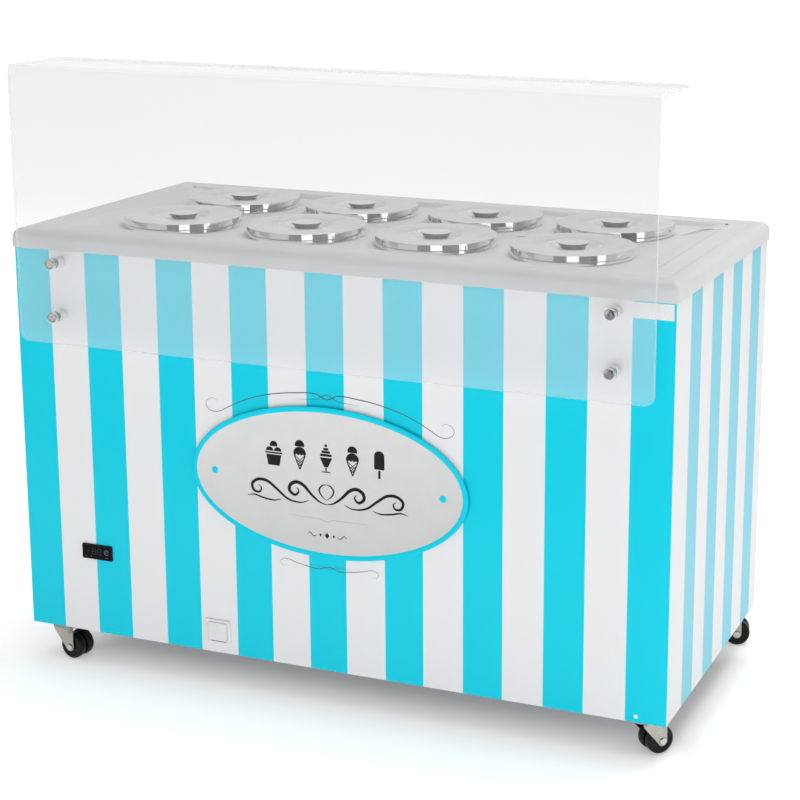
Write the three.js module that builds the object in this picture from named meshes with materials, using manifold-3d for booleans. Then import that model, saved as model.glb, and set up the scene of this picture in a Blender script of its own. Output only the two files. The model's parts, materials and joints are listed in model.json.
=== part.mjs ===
// Ice cream dipping cabinet: an eight-tub scooping cabinet on four twin-wheel castors.
// Millimetres, +Z up, the front faces -Y, the floor is z = 0.
import * as THREE from "three";
import { mergeVertices } from "three/addons/utils/BufferGeometryUtils.js";
import Module from "manifold-3d";

// Cabinet body
const BODY_W = 1250;
const BODY_D = 602;
const BODY_BOTTOM = 70;
const PANEL_TOP = 806;
const PANEL_T = 1.5;
const GAP = 0.3;

// Worktop
const OVERHANG = 4;
const LIP_BOTTOM = 794.5;
const RIM_TOP = 830;
const RIM_W = 64;
const DECK_TOP = 822;
const SKIN_T = 3;
const LIP_CORNER_R = 6;
const TUB_HOLE_R = 101.5;

// Tub grid
const TUB_COLUMNS = 4;
const TUB_ROWS = 2;
const TUB_PITCH_X = 255.5;
const TUB_PITCH_Y = 234;
const TUB_GRID_Y = 308;
const TUB_R = 99.5;
const TUB_WALL = 1;
const TUB_DEPTH = 250;
const TUB_RIM_R = 107.5;
const TUB_RIM_H = 5.7;
const LID_R = 109.5;
const LID_H = 11.7;
const ROUND_SEGMENTS = 20;

// Tank and insulation
const TANK_W = 1030;
const TANK_D = 460;
const TANK_FLOOR = 560;
const TANK_WALL = 1.2;
const FOAM_BOTTOM = 515;
const FOAM_TOP = 816.4;
const FOAM_HALF_W = 578;
const FOAM_CLEARANCE = 7;

// Sneeze guard and its stand-offs
const GUARD_W = 1200;
const GUARD_T = 6;
const GUARD_BOTTOM = 628.7;
const GUARD_TOP = 1128;
const GUARD_SHELF = 137;
const GUARD_BEND_R = 12;
const GUARD_CORNER_R = 18;
const STANDOFF_X = 526;
const STANDOFF_Z = [775, 677];
const STANDOFF_R = 10;
const BARREL_L = 24;
const CAP_L = 8;

// Front fittings
const PLAQUE_W = 534;
const PLAQUE_H = 275;
const PLAQUE_Z = 421;
const PLAQUE_X = 3;
const PLAQUE_FIXING_X = 220;
const CONTROLLER_X = -475;
const CONTROLLER_Z = 229;
const DRAIN_X = -224;
const DRAIN_Z = 111;

// Castors
const CASTOR_X = 575;
const CASTOR_INSET = 36;
const CASTOR_TRAIL = 25;
const WHEEL_R = 25;
const CASTOR_TURN = { fl: -8, fr: 50, rl: 172, rr: 15 };

// The overall depth runs from the stand-off caps to the worktop's rear lip, and y = 0 is its middle.
const CAP_FACE = BARREL_L + GUARD_T + CAP_L + 2 * GAP;
const FRONT = -(BODY_D + OVERHANG - CAP_FACE) / 2;
const BACK = FRONT + BODY_D;
const SHEET_BACK = FRONT - BARREL_L - GAP;
const SHEET_FRONT = SHEET_BACK - GUARD_T;

const wasm = await Module();
wasm.setup();

const root = new THREE.Group();
root.name = "dipping_cabinet";

// ---------- solids ----------

function solidOf(geometry) {
  const bare = geometry.index ? geometry.toNonIndexed() : geometry.clone();
  bare.deleteAttribute("normal");
  if (bare.attributes.uv) bare.deleteAttribute("uv");
  const merged = mergeVertices(bare, 1e-4);
  return new wasm.Manifold(
    new wasm.Mesh({
      numProp: 3,
      vertProperties: merged.attributes.position.array,
      triVerts: new Uint32Array(merged.index.array),
    }),
  );
}

function geometryOf(solid) {
  const mesh = solid.getMesh();
  const positions = new Float32Array(mesh.numVert * 3);
  for (let i = 0; i < mesh.numVert; i++) {
    const start = i * mesh.numProp;
    positions.set(mesh.vertProperties.subarray(start, start + 3), i * 3);
  }
  const geometry = new THREE.BufferGeometry();
  geometry.setAttribute("position", new THREE.BufferAttribute(positions, 3));
  geometry.setIndex(new THREE.BufferAttribute(new Uint32Array(mesh.triVerts), 1));
  return geometry;
}

function join(...geometries) {
  let solid = solidOf(geometries[0]);
  for (const other of geometries.slice(1)) solid = solid.add(solidOf(other));
  return geometryOf(solid);
}

function cut(geometry, ...tools) {
  let solid = solidOf(geometry);
  for (const tool of tools) solid = solid.subtract(solidOf(tool));
  return geometryOf(solid);
}

function common(geometry, other) {
  return geometryOf(solidOf(geometry).intersect(solidOf(other)));
}

// A box from its lowest corner to its highest corner.
function block(x0, y0, z0, x1, y1, z1) {
  const geometry = new THREE.BoxGeometry(x1 - x0, y1 - y0, z1 - z0);
  geometry.translate((x0 + x1) / 2, (y0 + y1) / 2, (z0 + z1) / 2);
  return geometry;
}

// A solid of revolution about Z from [radius, height] points that run anticlockwise.
function turned(points, segments = ROUND_SEGMENTS) {
  const profile = points.map(([r, z]) => new THREE.Vector2(r, z));
  const geometry = new THREE.LatheGeometry(profile, segments);
  geometry.rotateX(Math.PI / 2);
  return geometry;
}

function rod(radius, z0, z1, segments = 16) {
  return turned([[0, z0], [radius, z0], [radius, z1], [0, z1]], segments);
}

// A rod along Y, from y0 to y1.
function rodAlongY(radius, x, y0, y1, z, segments = 16) {
  const geometry = rod(radius, -y1, -y0, segments);
  geometry.rotateX(Math.PI / 2);
  geometry.translate(x, 0, z);
  return geometry;
}

// A shape drawn in XZ, extruded along Y from y0 to y1.
function slabAlongY(shape, y0, y1, segments = 12) {
  const geometry = new THREE.ExtrudeGeometry(shape, {
    depth: y1 - y0,
    bevelEnabled: false,
    curveSegments: segments,
  });
  geometry.rotateX(Math.PI / 2);
  geometry.translate(0, y1, 0);
  return geometry;
}

// The outline of a rectangle with round corners.
function roundedOutline(halfW, halfD, radius, cornerSteps) {
  const points = [];
  const corners = [[1, 1], [-1, 1], [-1, -1], [1, -1]];
  corners.forEach(([sx, sy], corner) => {
    for (let i = 0; i <= cornerSteps; i++) {
      const angle = ((corner + i / cornerSteps) * Math.PI) / 2;
      points.push([
        sx * (halfW - radius) + radius * Math.cos(angle),
        sy * (halfD - radius) + radius * Math.sin(angle),
      ]);
    }
  });
  return points;
}

// A stack of rounded rectangles, one per [inset, z], capped at both ends.
function stack(width, depth, radius, levels, cornerSteps = 5) {
  const rings = levels.map(([inset, z]) =>
    roundedOutline(
      width / 2 - inset,
      depth / 2 - inset,
      Math.max(radius - inset, 3),
      cornerSteps,
    ).map(([x, y]) => [x, y, z]),
  );
  const count = rings[0].length;
  const positions = rings.flat(2);
  const bottomCentre = rings.length * count;
  positions.push(0, 0, levels[0][1]);
  positions.push(0, 0, levels[levels.length - 1][1]);
  const index = [];
  for (let i = 0; i < count; i++) {
    const next = (i + 1) % count;
    for (let k = 0; k + 1 < rings.length; k++) {
      const low = k * count;
      const high = low + count;
      index.push(low + i, low + next, high + next);
      index.push(low + i, high + next, high + i);
    }
    const top = (rings.length - 1) * count;
    index.push(bottomCentre, next, i);
    index.push(bottomCentre + 1, top + i, top + next);
  }
  const geometry = new THREE.BufferGeometry();
  geometry.setAttribute(
    "position",
    new THREE.BufferAttribute(new Float32Array(positions), 3),
  );
  geometry.setIndex(index);
  return geometry;
}

function rectangle(x0, z0, x1, z1) {
  const shape = new THREE.Shape();
  shape.moveTo(x0, z0);
  shape.lineTo(x1, z0);
  shape.lineTo(x1, z1);
  shape.lineTo(x0, z1);
  shape.closePath();
  return shape;
}

function roundedRectangle(x, z, width, height, radius) {
  const points = roundedOutline(width / 2, height / 2, radius, 4);
  return new THREE.Shape(points.map(([px, pz]) => new THREE.Vector2(x + px, z + pz)));
}

function add(name, geometry, look, parent = root) {
  const mesh = new THREE.Mesh(
    geometry,
    new THREE.MeshStandardMaterial({
      color: look.color,
      roughness: look.roughness,
      metalness: look.metalness,
    }),
  );
  mesh.name = name;
  parent.add(mesh);
  return mesh;
}

// ---------- finishes ----------

const CYAN_PANEL = { color: 0x12c6dc, roughness: 0.35, metalness: 0 };
const GREY_TOP = { color: 0xc9cacb, roughness: 0.4, metalness: 0 };
const STEEL = { color: 0xc8c9c9, roughness: 0.15, metalness: 1 };
const ZINC = { color: 0xa9a59a, roughness: 0.4, metalness: 1 };
const GALVANISED = { color: 0x9fa2a3, roughness: 0.5, metalness: 0.9 };
const BLACK_TYRE = { color: 0x101010, roughness: 0.5, metalness: 0 };
const BLACK_GLOSS = { color: 0x0a0a0c, roughness: 0.15, metalness: 0 };
const BLACK_PAINT = { color: 0x17181a, roughness: 0.55, metalness: 0 };
const CLEAR_SHEET = { color: 0xeef6f7, roughness: 0.05, metalness: 0 };
const SILVER_PLATE = { color: 0xd3d3d2, roughness: 0.45, metalness: 0.3 };
const WHITE_PLASTIC = { color: 0xe6e6e6, roughness: 0.4, metalness: 0 };
const FOAM = { color: 0xe3d49a, roughness: 0.95, metalness: 0 };
const ALUMINIUM = { color: 0xb8babb, roughness: 0.45, metalness: 1 };

// ---------- worktop ----------

const tubCentres = [];
for (let row = 0; row < TUB_ROWS; row++) {
  for (let column = 0; column < TUB_COLUMNS; column++) {
    tubCentres.push([
      (column - (TUB_COLUMNS - 1) / 2) * TUB_PITCH_X,
      FRONT + TUB_GRID_Y + (row - (TUB_ROWS - 1) / 2) * TUB_PITCH_Y,
    ]);
  }
}

function worktop() {
  const width = BODY_W + 2 * OVERHANG;
  const depth = BODY_D + 2 * OVERHANG;
  const centreY = FRONT + BODY_D / 2;
  const outside = stack(width, depth, LIP_CORNER_R, [
    [0, LIP_BOTTOM],
    [0, 808],
    [2, 816],
    [7, 823],
    [14, 827.5],
    [24, RIM_TOP],
  ]);
  // The skin is hollow underneath, and the raised rim is hollow above the deck's underside.
  const hollow = stack(width, depth, LIP_CORNER_R, [
    [SKIN_T, LIP_BOTTOM - 5],
    [SKIN_T, 807],
    [6, 814],
    [10, DECK_TOP - SKIN_T],
  ]);
  const rimHollow = cut(
    stack(width, depth, LIP_CORNER_R, [
      [16, DECK_TOP - SKIN_T - 2],
      [20, RIM_TOP - SKIN_T - 1],
    ]),
    stack(width, depth, 60, [
      [RIM_W - 4, DECK_TOP - SKIN_T - 4],
      [RIM_W - 4, RIM_TOP],
    ]),
  );
  const recess = stack(width, depth, 76, [
    [RIM_W + 8, DECK_TOP],
    [RIM_W, RIM_TOP],
    [RIM_W, RIM_TOP + 5],
  ]);
  const holes = tubCentres.map(([x, y]) => {
    const hole = rod(TUB_HOLE_R, DECK_TOP - 10, DECK_TOP + 5, ROUND_SEGMENTS);
    hole.translate(x, y - centreY, 0);
    return hole;
  });
  const geometry = cut(outside, hollow, rimHollow, recess, ...holes);
  geometry.translate(0, centreY, 0);
  return geometry;
}
add("worktop", worktop(), GREY_TOP);

// ---------- panels ----------

const FLANGE = 10;
const SIDE_FLANGE = 15;

function frontPanel() {
  const plate = rectangle(-BODY_W / 2, BODY_BOTTOM, BODY_W / 2, PANEL_TOP);
  const openings = [
    roundedRectangle(CONTROLLER_X, CONTROLLER_Z, 60.6, 25.6, 2),
  ];
  for (const side of [-1, 1]) {
    for (const z of STANDOFF_Z) {
      openings.push(new THREE.Path().absarc(side * STANDOFF_X, z, 3.6, 0, 2 * Math.PI, true));
    }
  }
  openings.push(new THREE.Path().absarc(DRAIN_X, DRAIN_Z, 14, 0, 2 * Math.PI, true));
  plate.holes.push(...openings);
  return join(
    slabAlongY(plate, FRONT, FRONT + PANEL_T, 6),
    block(-600, FRONT + 1, BODY_BOTTOM, 600, FRONT + FLANGE, BODY_BOTTOM + PANEL_T),
  );
}
add("front_panel", frontPanel(), CYAN_PANEL);

function sidePanel(side) {
  const outer = BODY_W / 2;
  const y0 = FRONT + PANEL_T + GAP;
  const y1 = BACK - PANEL_T - GAP;
  const geometry = join(
    block(outer - PANEL_T, y0, BODY_BOTTOM, outer, y1, PANEL_TOP),
    block(outer - SIDE_FLANGE, y0, BODY_BOTTOM + 4, outer - 1, y0 + PANEL_T, PANEL_TOP - 4),
    block(outer - SIDE_FLANGE, y1 - PANEL_T, BODY_BOTTOM + 4, outer - 1, y1, PANEL_TOP - 4),
  );
  if (side < 0) geometry.rotateZ(Math.PI).translate(0, 2 * (FRONT + BODY_D / 2), 0);
  return geometry;
}
add("left_panel", sidePanel(-1), CYAN_PANEL);
add("right_panel", sidePanel(1), CYAN_PANEL);

const GRILLE_X = 320;
const GRILLE_Z = 245;
const GRILLE_W = 420;
const GRILLE_H = 250;
const GLAND_X = -460;
const GLAND_Z = 150;

function rearPanel() {
  const plate = rectangle(-BODY_W / 2, BODY_BOTTOM, BODY_W / 2, PANEL_TOP);
  plate.holes.push(
    roundedRectangle(GRILLE_X, GRILLE_Z, GRILLE_W - 30, GRILLE_H - 30, 4),
    new THREE.Path().absarc(GLAND_X, GLAND_Z, 9.4, 0, 2 * Math.PI, true),
  );
  return join(
    slabAlongY(plate, BACK - PANEL_T, BACK, 6),
    block(-600, BACK - FLANGE, BODY_BOTTOM, 600, BACK - 1, BODY_BOTTOM + PANEL_T),
  );
}
add("rear_panel", rearPanel(), WHITE_PLASTIC);

// The grille is a sheet with a row of slots, each under a sloping hood.
function rearGrille() {
  const slots = 9;
  const pitch = 24;
  const y0 = BACK + GAP;
  const sheet = roundedRectangle(GRILLE_X, GRILLE_Z, GRILLE_W, GRILLE_H, 6);
  const hoods = [];
  const cuts = [];
  for (let i = 0; i < slots; i++) {
    const z = GRILLE_Z + (i - (slots - 1) / 2) * pitch;
    cuts.push(block(GRILLE_X - 175, y0 - 3, z - 5, GRILLE_X + 175, y0 + 1.5, z + 5));
    const hood = new THREE.Shape();
    hood.moveTo(y0 + 0.6, z + 7);
    hood.lineTo(y0 + 3.2, z - 4);
    hood.lineTo(y0 + 2.2, z - 5);
    hood.lineTo(y0 + 0.2, z + 5.5);
    hood.closePath();
    const bar = new THREE.ExtrudeGeometry(hood, { depth: 356, bevelEnabled: false });
    bar.rotateX(Math.PI / 2);
    bar.rotateZ(Math.PI / 2);
    bar.translate(GRILLE_X - 178, 0, 0);
    hoods.push(bar);
  }
  return join(cut(slabAlongY(sheet, y0, y0 + 1.2), ...cuts), ...hoods);
}
add("rear_grille", rearGrille(), WHITE_PLASTIC);

// ---------- base, tank and insulation ----------

function baseTray() {
  const x = BODY_W / 2 - PANEL_T - 0.4;
  const y0 = FRONT + 2 * PANEL_T + 0.7;
  const y1 = BACK - 2 * PANEL_T - 0.7;
  const z0 = BODY_BOTTOM + PANEL_T + GAP;
  const height = 22;
  return cut(
    block(-x, y0, z0, x, y1, z0 + height),
    block(
      -x + PANEL_T, y0 + PANEL_T, z0 + PANEL_T,
      x - PANEL_T, y1 - PANEL_T, z0 + height + 5,
    ),
  );
}
add("base_tray", baseTray(), GALVANISED);

// An evaporator coil is brazed round the tank in flat loops.
function tankLiner() {
  const centreY = FRONT + TUB_GRID_Y;
  const wall = TANK_WALL;
  const top = DECK_TOP - SKIN_T - GAP;
  const w = TANK_W + 2 * wall;
  const d = TANK_D + 2 * wall;
  const shell = cut(
    join(
      stack(w, d, 30, [[0, TANK_FLOOR - wall], [0, top]], 3),
      stack(w + 24, d + 24, 30, [[0, top - wall], [0, top]], 3),
    ),
    stack(TANK_W, TANK_D, 28, [[0, TANK_FLOOR], [0, top + 5]], 3),
    rod(8.3, TANK_FLOOR - 10, TANK_FLOOR + 10, 16).translate(DRAIN_X, 0, 0),
  );
  const loops = [640, 720].map((z) =>
    cut(
      stack(w + 16, d + 16, 34, [[0, z], [0, z + 8]], 3),
      stack(w - 1, d - 1, 30, [[0, z - 2], [0, z + 10]], 3),
    ),
  );
  return join(shell, ...loops).translate(0, centreY, 0);
}
add("tank_liner", tankLiner(), STEEL);

function foamInsulation() {
  const centreY = FRONT + TUB_GRID_Y;
  const x = FOAM_HALF_W;
  const bottom = TANK_FLOOR - TANK_WALL - GAP;
  return cut(
    block(-x, FRONT + FOAM_CLEARANCE, FOAM_BOTTOM, x, BACK - FOAM_CLEARANCE, FOAM_TOP),
    stack(TANK_W + 22, TANK_D + 22, 36, [[0, bottom], [0, FOAM_TOP + 5]], 3)
      .translate(0, centreY, 0),
    rod(10.4, FOAM_BOTTOM - 5, bottom + 5, 16).translate(DRAIN_X, centreY, 0),
  );
}
add("foam_insulation", foamInsulation(), FOAM);

// ---------- refrigeration ----------

const TRAY_FLOOR = BODY_BOTTOM + 2 * PANEL_T + 2 * GAP;
const MACHINE_X = 20;
const MACHINE_Y = FRONT + 330;

function compressor() {
  const z = TRAY_FLOOR;
  const shell = turned([
    [0, z + 12], [48, z + 12], [62, z + 26], [66, z + 50], [66, z + 95],
    [60, z + 120], [40, z + 135], [0, z + 140],
  ], 20);
  return join(
    shell,
    block(-95, -55, z, 95, 55, z + 5),
    block(-36, -36, z + 4, 36, 36, z + 26),
    block(50, -26, z + 40, 90, 26, z + 95),
    rod(5, z + 125, z + 180, 10).translate(-26, 18, 0),
    rod(5, z + 125, z + 180, 10).translate(-26, -18, 0),
  ).translate(MACHINE_X, MACHINE_Y, 0);
}
add("compressor", compressor(), BLACK_PAINT);

const COIL_X = 320;
const COIL_W = 300;
const COIL_H = 250;
const COIL_Y = BACK - 85;
const COIL_D = 40;

function condenser() {
  const z0 = TRAY_FLOOR;
  const fins = 8;
  const pieces = [];
  for (let i = 0; i <= fins; i++) {
    const x = COIL_X - COIL_W / 2 + (i * (COIL_W - 3)) / fins;
    const foot = i === 0 || i === fins ? 0 : 12;
    pieces.push(block(x, COIL_Y, z0 + foot, x + 3, COIL_Y + COIL_D, z0 + COIL_H));
  }
  for (let i = 0; i < 3; i++) {
    const z = z0 + 50 + i * 75;
    pieces.push(
      block(
        COIL_X - COIL_W / 2 - 8, COIL_Y + 15, z,
        COIL_X + COIL_W / 2 + 8, COIL_Y + 25, z + 10,
      ),
    );
  }
  return join(...pieces);
}
add("condenser", condenser(), ALUMINIUM);

const FAN_Z = TRAY_FLOOR + COIL_H / 2 + 5;

// A square shroud carries the motor on four arms.
function fanMotor() {
  const half = 118;
  const y1 = COIL_Y - GAP;
  const y0 = y1 - 22;
  const shroud = rectangle(
    COIL_X - half,
    FAN_Z - half,
    COIL_X + half,
    FAN_Z + half,
  );
  shroud.holes.push(new THREE.Path().absarc(COIL_X, FAN_Z, 106, 0, 2 * Math.PI, true));
  const arms = [0, 1, 2, 3].map((i) => {
    const arm = block(20, -8, -6, 114, 0, 6);
    arm.rotateY((i * Math.PI) / 2 + Math.PI / 4);
    return arm.translate(COIL_X, y0 + 2, FAN_Z);
  });
  return join(
    slabAlongY(shroud, y0, y1, 16),
    ...arms,
    rodAlongY(34, COIL_X, y0 - 44, y0 + 1, FAN_Z, 20),
    rodAlongY(3, COIL_X, y0 - 2, y0 + 13, FAN_Z, 10),
    block(COIL_X - 80, y0, TRAY_FLOOR, COIL_X - 60, y1, FAN_Z - half + 2),
    block(COIL_X + 60, y0, TRAY_FLOOR, COIL_X + 80, y1, FAN_Z - half + 2),
  );
}
add("fan_motor", fanMotor(), BLACK_PAINT);

function fanBlades() {
  const blades = 5;
  const pieces = [
    cut(
      rodAlongY(19, 0, -8, 8, 0, 20),
      rodAlongY(3.4, 0, -10, 4, 0, 10),
    ),
  ];
  for (let i = 0; i < blades; i++) {
    const shape = new THREE.Shape();
    shape.moveTo(15, -10);
    shape.lineTo(60, -30);
    shape.lineTo(96, -22);
    shape.lineTo(98, 16);
    shape.lineTo(60, 20);
    shape.lineTo(15, 10);
    shape.closePath();
    const blade = slabAlongY(shape, -1, 1);
    blade.rotateX(0.22);
    blade.rotateY((i * 2 * Math.PI) / blades);
    pieces.push(blade);
  }
  return join(...pieces);
}
add("fan_blades", fanBlades(), GALVANISED).position.set(COIL_X, COIL_Y - GAP - 9.5, FAN_Z);

// ---------- front fittings ----------

function controller() {
  const bezel = roundedRectangle(CONTROLLER_X, CONTROLLER_Z, 64, 29, 2.5);
  const body = roundedRectangle(CONTROLLER_X, CONTROLLER_Z, 60, 25, 1.5);
  return join(
    slabAlongY(bezel, FRONT - GAP - 3, FRONT - GAP),
    slabAlongY(body, FRONT - GAP - 1, FRONT + 48),
  );
}
add("controller", controller(), BLACK_GLOSS);

const DRAIN_FRAME_OUT = 3;

function drainFrame() {
  const face = roundedRectangle(DRAIN_X, DRAIN_Z, 52, 46, 3);
  const window = roundedRectangle(DRAIN_X, DRAIN_Z, 40, 36, 4);
  const y0 = FRONT - GAP - DRAIN_FRAME_OUT;
  return cut(
    join(
      slabAlongY(face, y0, FRONT - GAP),
      rodAlongY(13.4, DRAIN_X, FRONT - GAP - 1, FRONT + 30, DRAIN_Z, 20),
    ),
    slabAlongY(window, y0 - 5, y0 + 1.8),
    rodAlongY(10.6, DRAIN_X, y0 - 5, FRONT + 35, DRAIN_Z, 20),
  );
}
add("drain_frame", drainFrame(), WHITE_PLASTIC);

function drainCap() {
  const y0 = FRONT - GAP - DRAIN_FRAME_OUT - 0.8;
  const face = roundedRectangle(DRAIN_X, DRAIN_Z, 38.6, 34.6, 4);
  return join(
    slabAlongY(face, y0, y0 + 2.3),
    rodAlongY(7.2, DRAIN_X, y0 + 1, FRONT + 22, DRAIN_Z, 16),
  );
}
add("drain_cap", drainCap(), WHITE_PLASTIC);

// The drain pipe drops from the tank floor, bends and runs forward to the drain outlet.
function drainPipe() {
  const bend = 34;
  const topY = FRONT + TUB_GRID_Y;
  const bendSteps = 6;
  const sides = 12;
  const points = [new THREE.Vector3(DRAIN_X, topY, TANK_FLOOR - TANK_WALL - GAP)];
  for (let i = 0; i <= bendSteps; i++) {
    const angle = (i / bendSteps) * (Math.PI / 2);
    points.push(
      new THREE.Vector3(
        DRAIN_X,
        topY - bend * (1 - Math.cos(angle)),
        DRAIN_Z + bend * (1 - Math.sin(angle)),
      ),
    );
  }
  points.push(new THREE.Vector3(DRAIN_X, FRONT + 6, DRAIN_Z));
  const last = points.length - 1;
  const rings = [];
  for (const radius of [10, 8]) {
    points.forEach((point, k) => {
      const before = points[Math.max(k - 1, 0)];
      const after = points[Math.min(k + 1, last)];
      const along = after.clone().sub(before).normalize();
      const across = new THREE.Vector3(1, 0, 0);
      const third = along.clone().cross(across);
      const ring = [];
      for (let i = 0; i < sides; i++) {
        const angle = (i * 2 * Math.PI) / sides;
        ring.push(
          point.clone()
            .addScaledVector(across, radius * Math.cos(angle))
            .addScaledVector(third, radius * Math.sin(angle)),
        );
      }
      rings.push(ring);
    });
  }
  const rows = rings.slice(0, last + 1).concat(rings.slice(last + 1).reverse());
  const positions = rows.flat().flatMap((v) => [v.x, v.y, v.z]);
  const index = [];
  rows.forEach((row, k) => {
    const nextRow = (k + 1) % rows.length;
    for (let i = 0; i < sides; i++) {
      const next = (i + 1) % sides;
      const a = k * sides + i;
      const b = k * sides + next;
      const c = nextRow * sides + next;
      const d = nextRow * sides + i;
      index.push(a, b, c, a, c, d);
    }
  });
  const geometry = new THREE.BufferGeometry();
  geometry.setAttribute(
    "position",
    new THREE.BufferAttribute(new Float32Array(positions), 3),
  );
  geometry.setIndex(index);
  return geometry;
}
add("drain_pipe", drainPipe(), WHITE_PLASTIC);

function cableGland() {
  return cut(
    join(
      rodAlongY(13, GLAND_X, BACK + GAP, BACK + 3.6, GLAND_Z, 14),
      rodAlongY(9, GLAND_X, BACK - 12, BACK + 1, GLAND_Z, 14),
      rodAlongY(12, GLAND_X, BACK - 10, BACK - PANEL_T - GAP, GLAND_Z, 6),
    ),
    rodAlongY(4.5, GLAND_X, BACK - 15, BACK + 10, GLAND_Z, 10),
  );
}
add("cable_gland", cableGland(), BLACK_PAINT);

function signPlaque() {
  const y1 = FRONT - GAP - 3;
  const oval = new THREE.Shape();
  oval.absellipse(PLAQUE_X, PLAQUE_Z, PLAQUE_W / 2, PLAQUE_H / 2, 0, 2 * Math.PI, false);
  return join(
    slabAlongY(oval, y1 - 3, y1, 32),
    rodAlongY(8, PLAQUE_X - PLAQUE_FIXING_X, y1 - 1, FRONT - GAP, PLAQUE_Z, 14),
    rodAlongY(8, PLAQUE_X + PLAQUE_FIXING_X, y1 - 1, FRONT - GAP, PLAQUE_Z, 14),
  );
}
add("sign_plaque", signPlaque(), SILVER_PLATE);

// ---------- sneeze guard ----------

// One sheet, bent once: it hangs down the front and its top edge turns back as a shelf.
function sneezeGuard() {
  const inner = GUARD_BEND_R - GUARD_T;
  const bendY = SHEET_FRONT + GUARD_BEND_R;
  const bendZ = GUARD_TOP - GUARD_BEND_R;
  const profile = new THREE.Shape();
  profile.moveTo(SHEET_BACK, GUARD_BOTTOM);
  profile.lineTo(SHEET_BACK, bendZ);
  profile.absarc(bendY, bendZ, inner, Math.PI, Math.PI / 2, true);
  profile.lineTo(FRONT + GUARD_SHELF, GUARD_TOP - GUARD_T);
  profile.lineTo(FRONT + GUARD_SHELF, GUARD_TOP);
  profile.lineTo(bendY, GUARD_TOP);
  profile.absarc(bendY, bendZ, GUARD_BEND_R, Math.PI / 2, Math.PI, false);
  profile.lineTo(SHEET_FRONT, GUARD_BOTTOM);
  profile.closePath();
  const sheet = new THREE.ExtrudeGeometry(profile, {
    depth: GUARD_W,
    bevelEnabled: false,
    curveSegments: 6,
  });
  sheet.rotateX(Math.PI / 2);
  sheet.rotateZ(Math.PI / 2);
  sheet.translate(-GUARD_W / 2, 0, 0);
  const outline = roundedRectangle(
    0,
    GUARD_BOTTOM + 400,
    GUARD_W,
    800,
    GUARD_CORNER_R,
  );
  const trimmed = common(sheet, slabAlongY(outline, SHEET_FRONT - 5, FRONT + GUARD_SHELF + 5));
  const holes = [];
  for (const side of [-1, 1]) {
    for (const z of STANDOFF_Z) {
      holes.push(
        rodAlongY(5.5, side * STANDOFF_X, SHEET_FRONT - 4, SHEET_BACK + 4, z, 12),
      );
    }
  }
  return cut(trimmed, ...holes);
}
add("sneeze_guard", sneezeGuard(), CLEAR_SHEET);

// Each stand-off is a turned barrel with a stud at both ends, and a screw-on cap.
const corners = { ul: [-1, 0], ll: [-1, 1], ur: [1, 0], lr: [1, 1] };
for (const [corner, [side, level]] of Object.entries(corners)) {
  const x = side * STANDOFF_X;
  const z = STANDOFF_Z[level];
  const capFront = SHEET_FRONT - GAP - CAP_L;
  add(
    "standoff_barrel_" + corner,
    join(
      rodAlongY(STANDOFF_R, x, FRONT - BARREL_L, FRONT - GAP, z, 16),
      rodAlongY(4, x, SHEET_FRONT - 5, FRONT - BARREL_L + 1, z, 8),
      rodAlongY(3, x, FRONT - 1, FRONT + 6.4, z, 8),
    ),
    STEEL,
  );
  const cap = turned([
    [0, 0], [STANDOFF_R, 0], [STANDOFF_R, CAP_L - 1], [STANDOFF_R - 1, CAP_L], [0, CAP_L],
  ], 16);
  cap.rotateX(Math.PI / 2);
  cap.translate(x, capFront + CAP_L, z);
  add(
    "standoff_cap_" + corner,
    cut(cap, rodAlongY(4.4, x, capFront + 2, capFront + CAP_L + 2, z, 8)),
    STEEL,
  );
}

// ---------- castors ----------

const MOUNT_TOP = BODY_BOTTOM + PANEL_T;
const PLATE_T = 3;
const RACE_H = 3.4;
const CROWN_TOP = MOUNT_TOP - PLATE_T - RACE_H - GAP;
const CROWN_T = 2.7;
const FORK_INNER = 20.6;
const FORK_T = 2.5;

function castorPlate() {
  const plate = block(-25, -25, MOUNT_TOP - PLATE_T, 25, 25, MOUNT_TOP);
  const holes = [[-19, -19], [19, -19], [19, 19], [-19, 19]].map(([x, y]) =>
    rod(2.8, MOUNT_TOP - 10, MOUNT_TOP + 10, 8).translate(x, y, 0),
  );
  const pin = turned([
    [0, CROWN_TOP - CROWN_T - 4], [8, CROWN_TOP - CROWN_T - 4],
    [8, CROWN_TOP - CROWN_T - 0.6], [5, CROWN_TOP - CROWN_T - 0.6],
    [5, CROWN_TOP + GAP], [17, CROWN_TOP + GAP], [17, MOUNT_TOP - 1], [0, MOUNT_TOP - 1],
  ], 12);
  return cut(join(plate, pin), ...holes);
}

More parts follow.
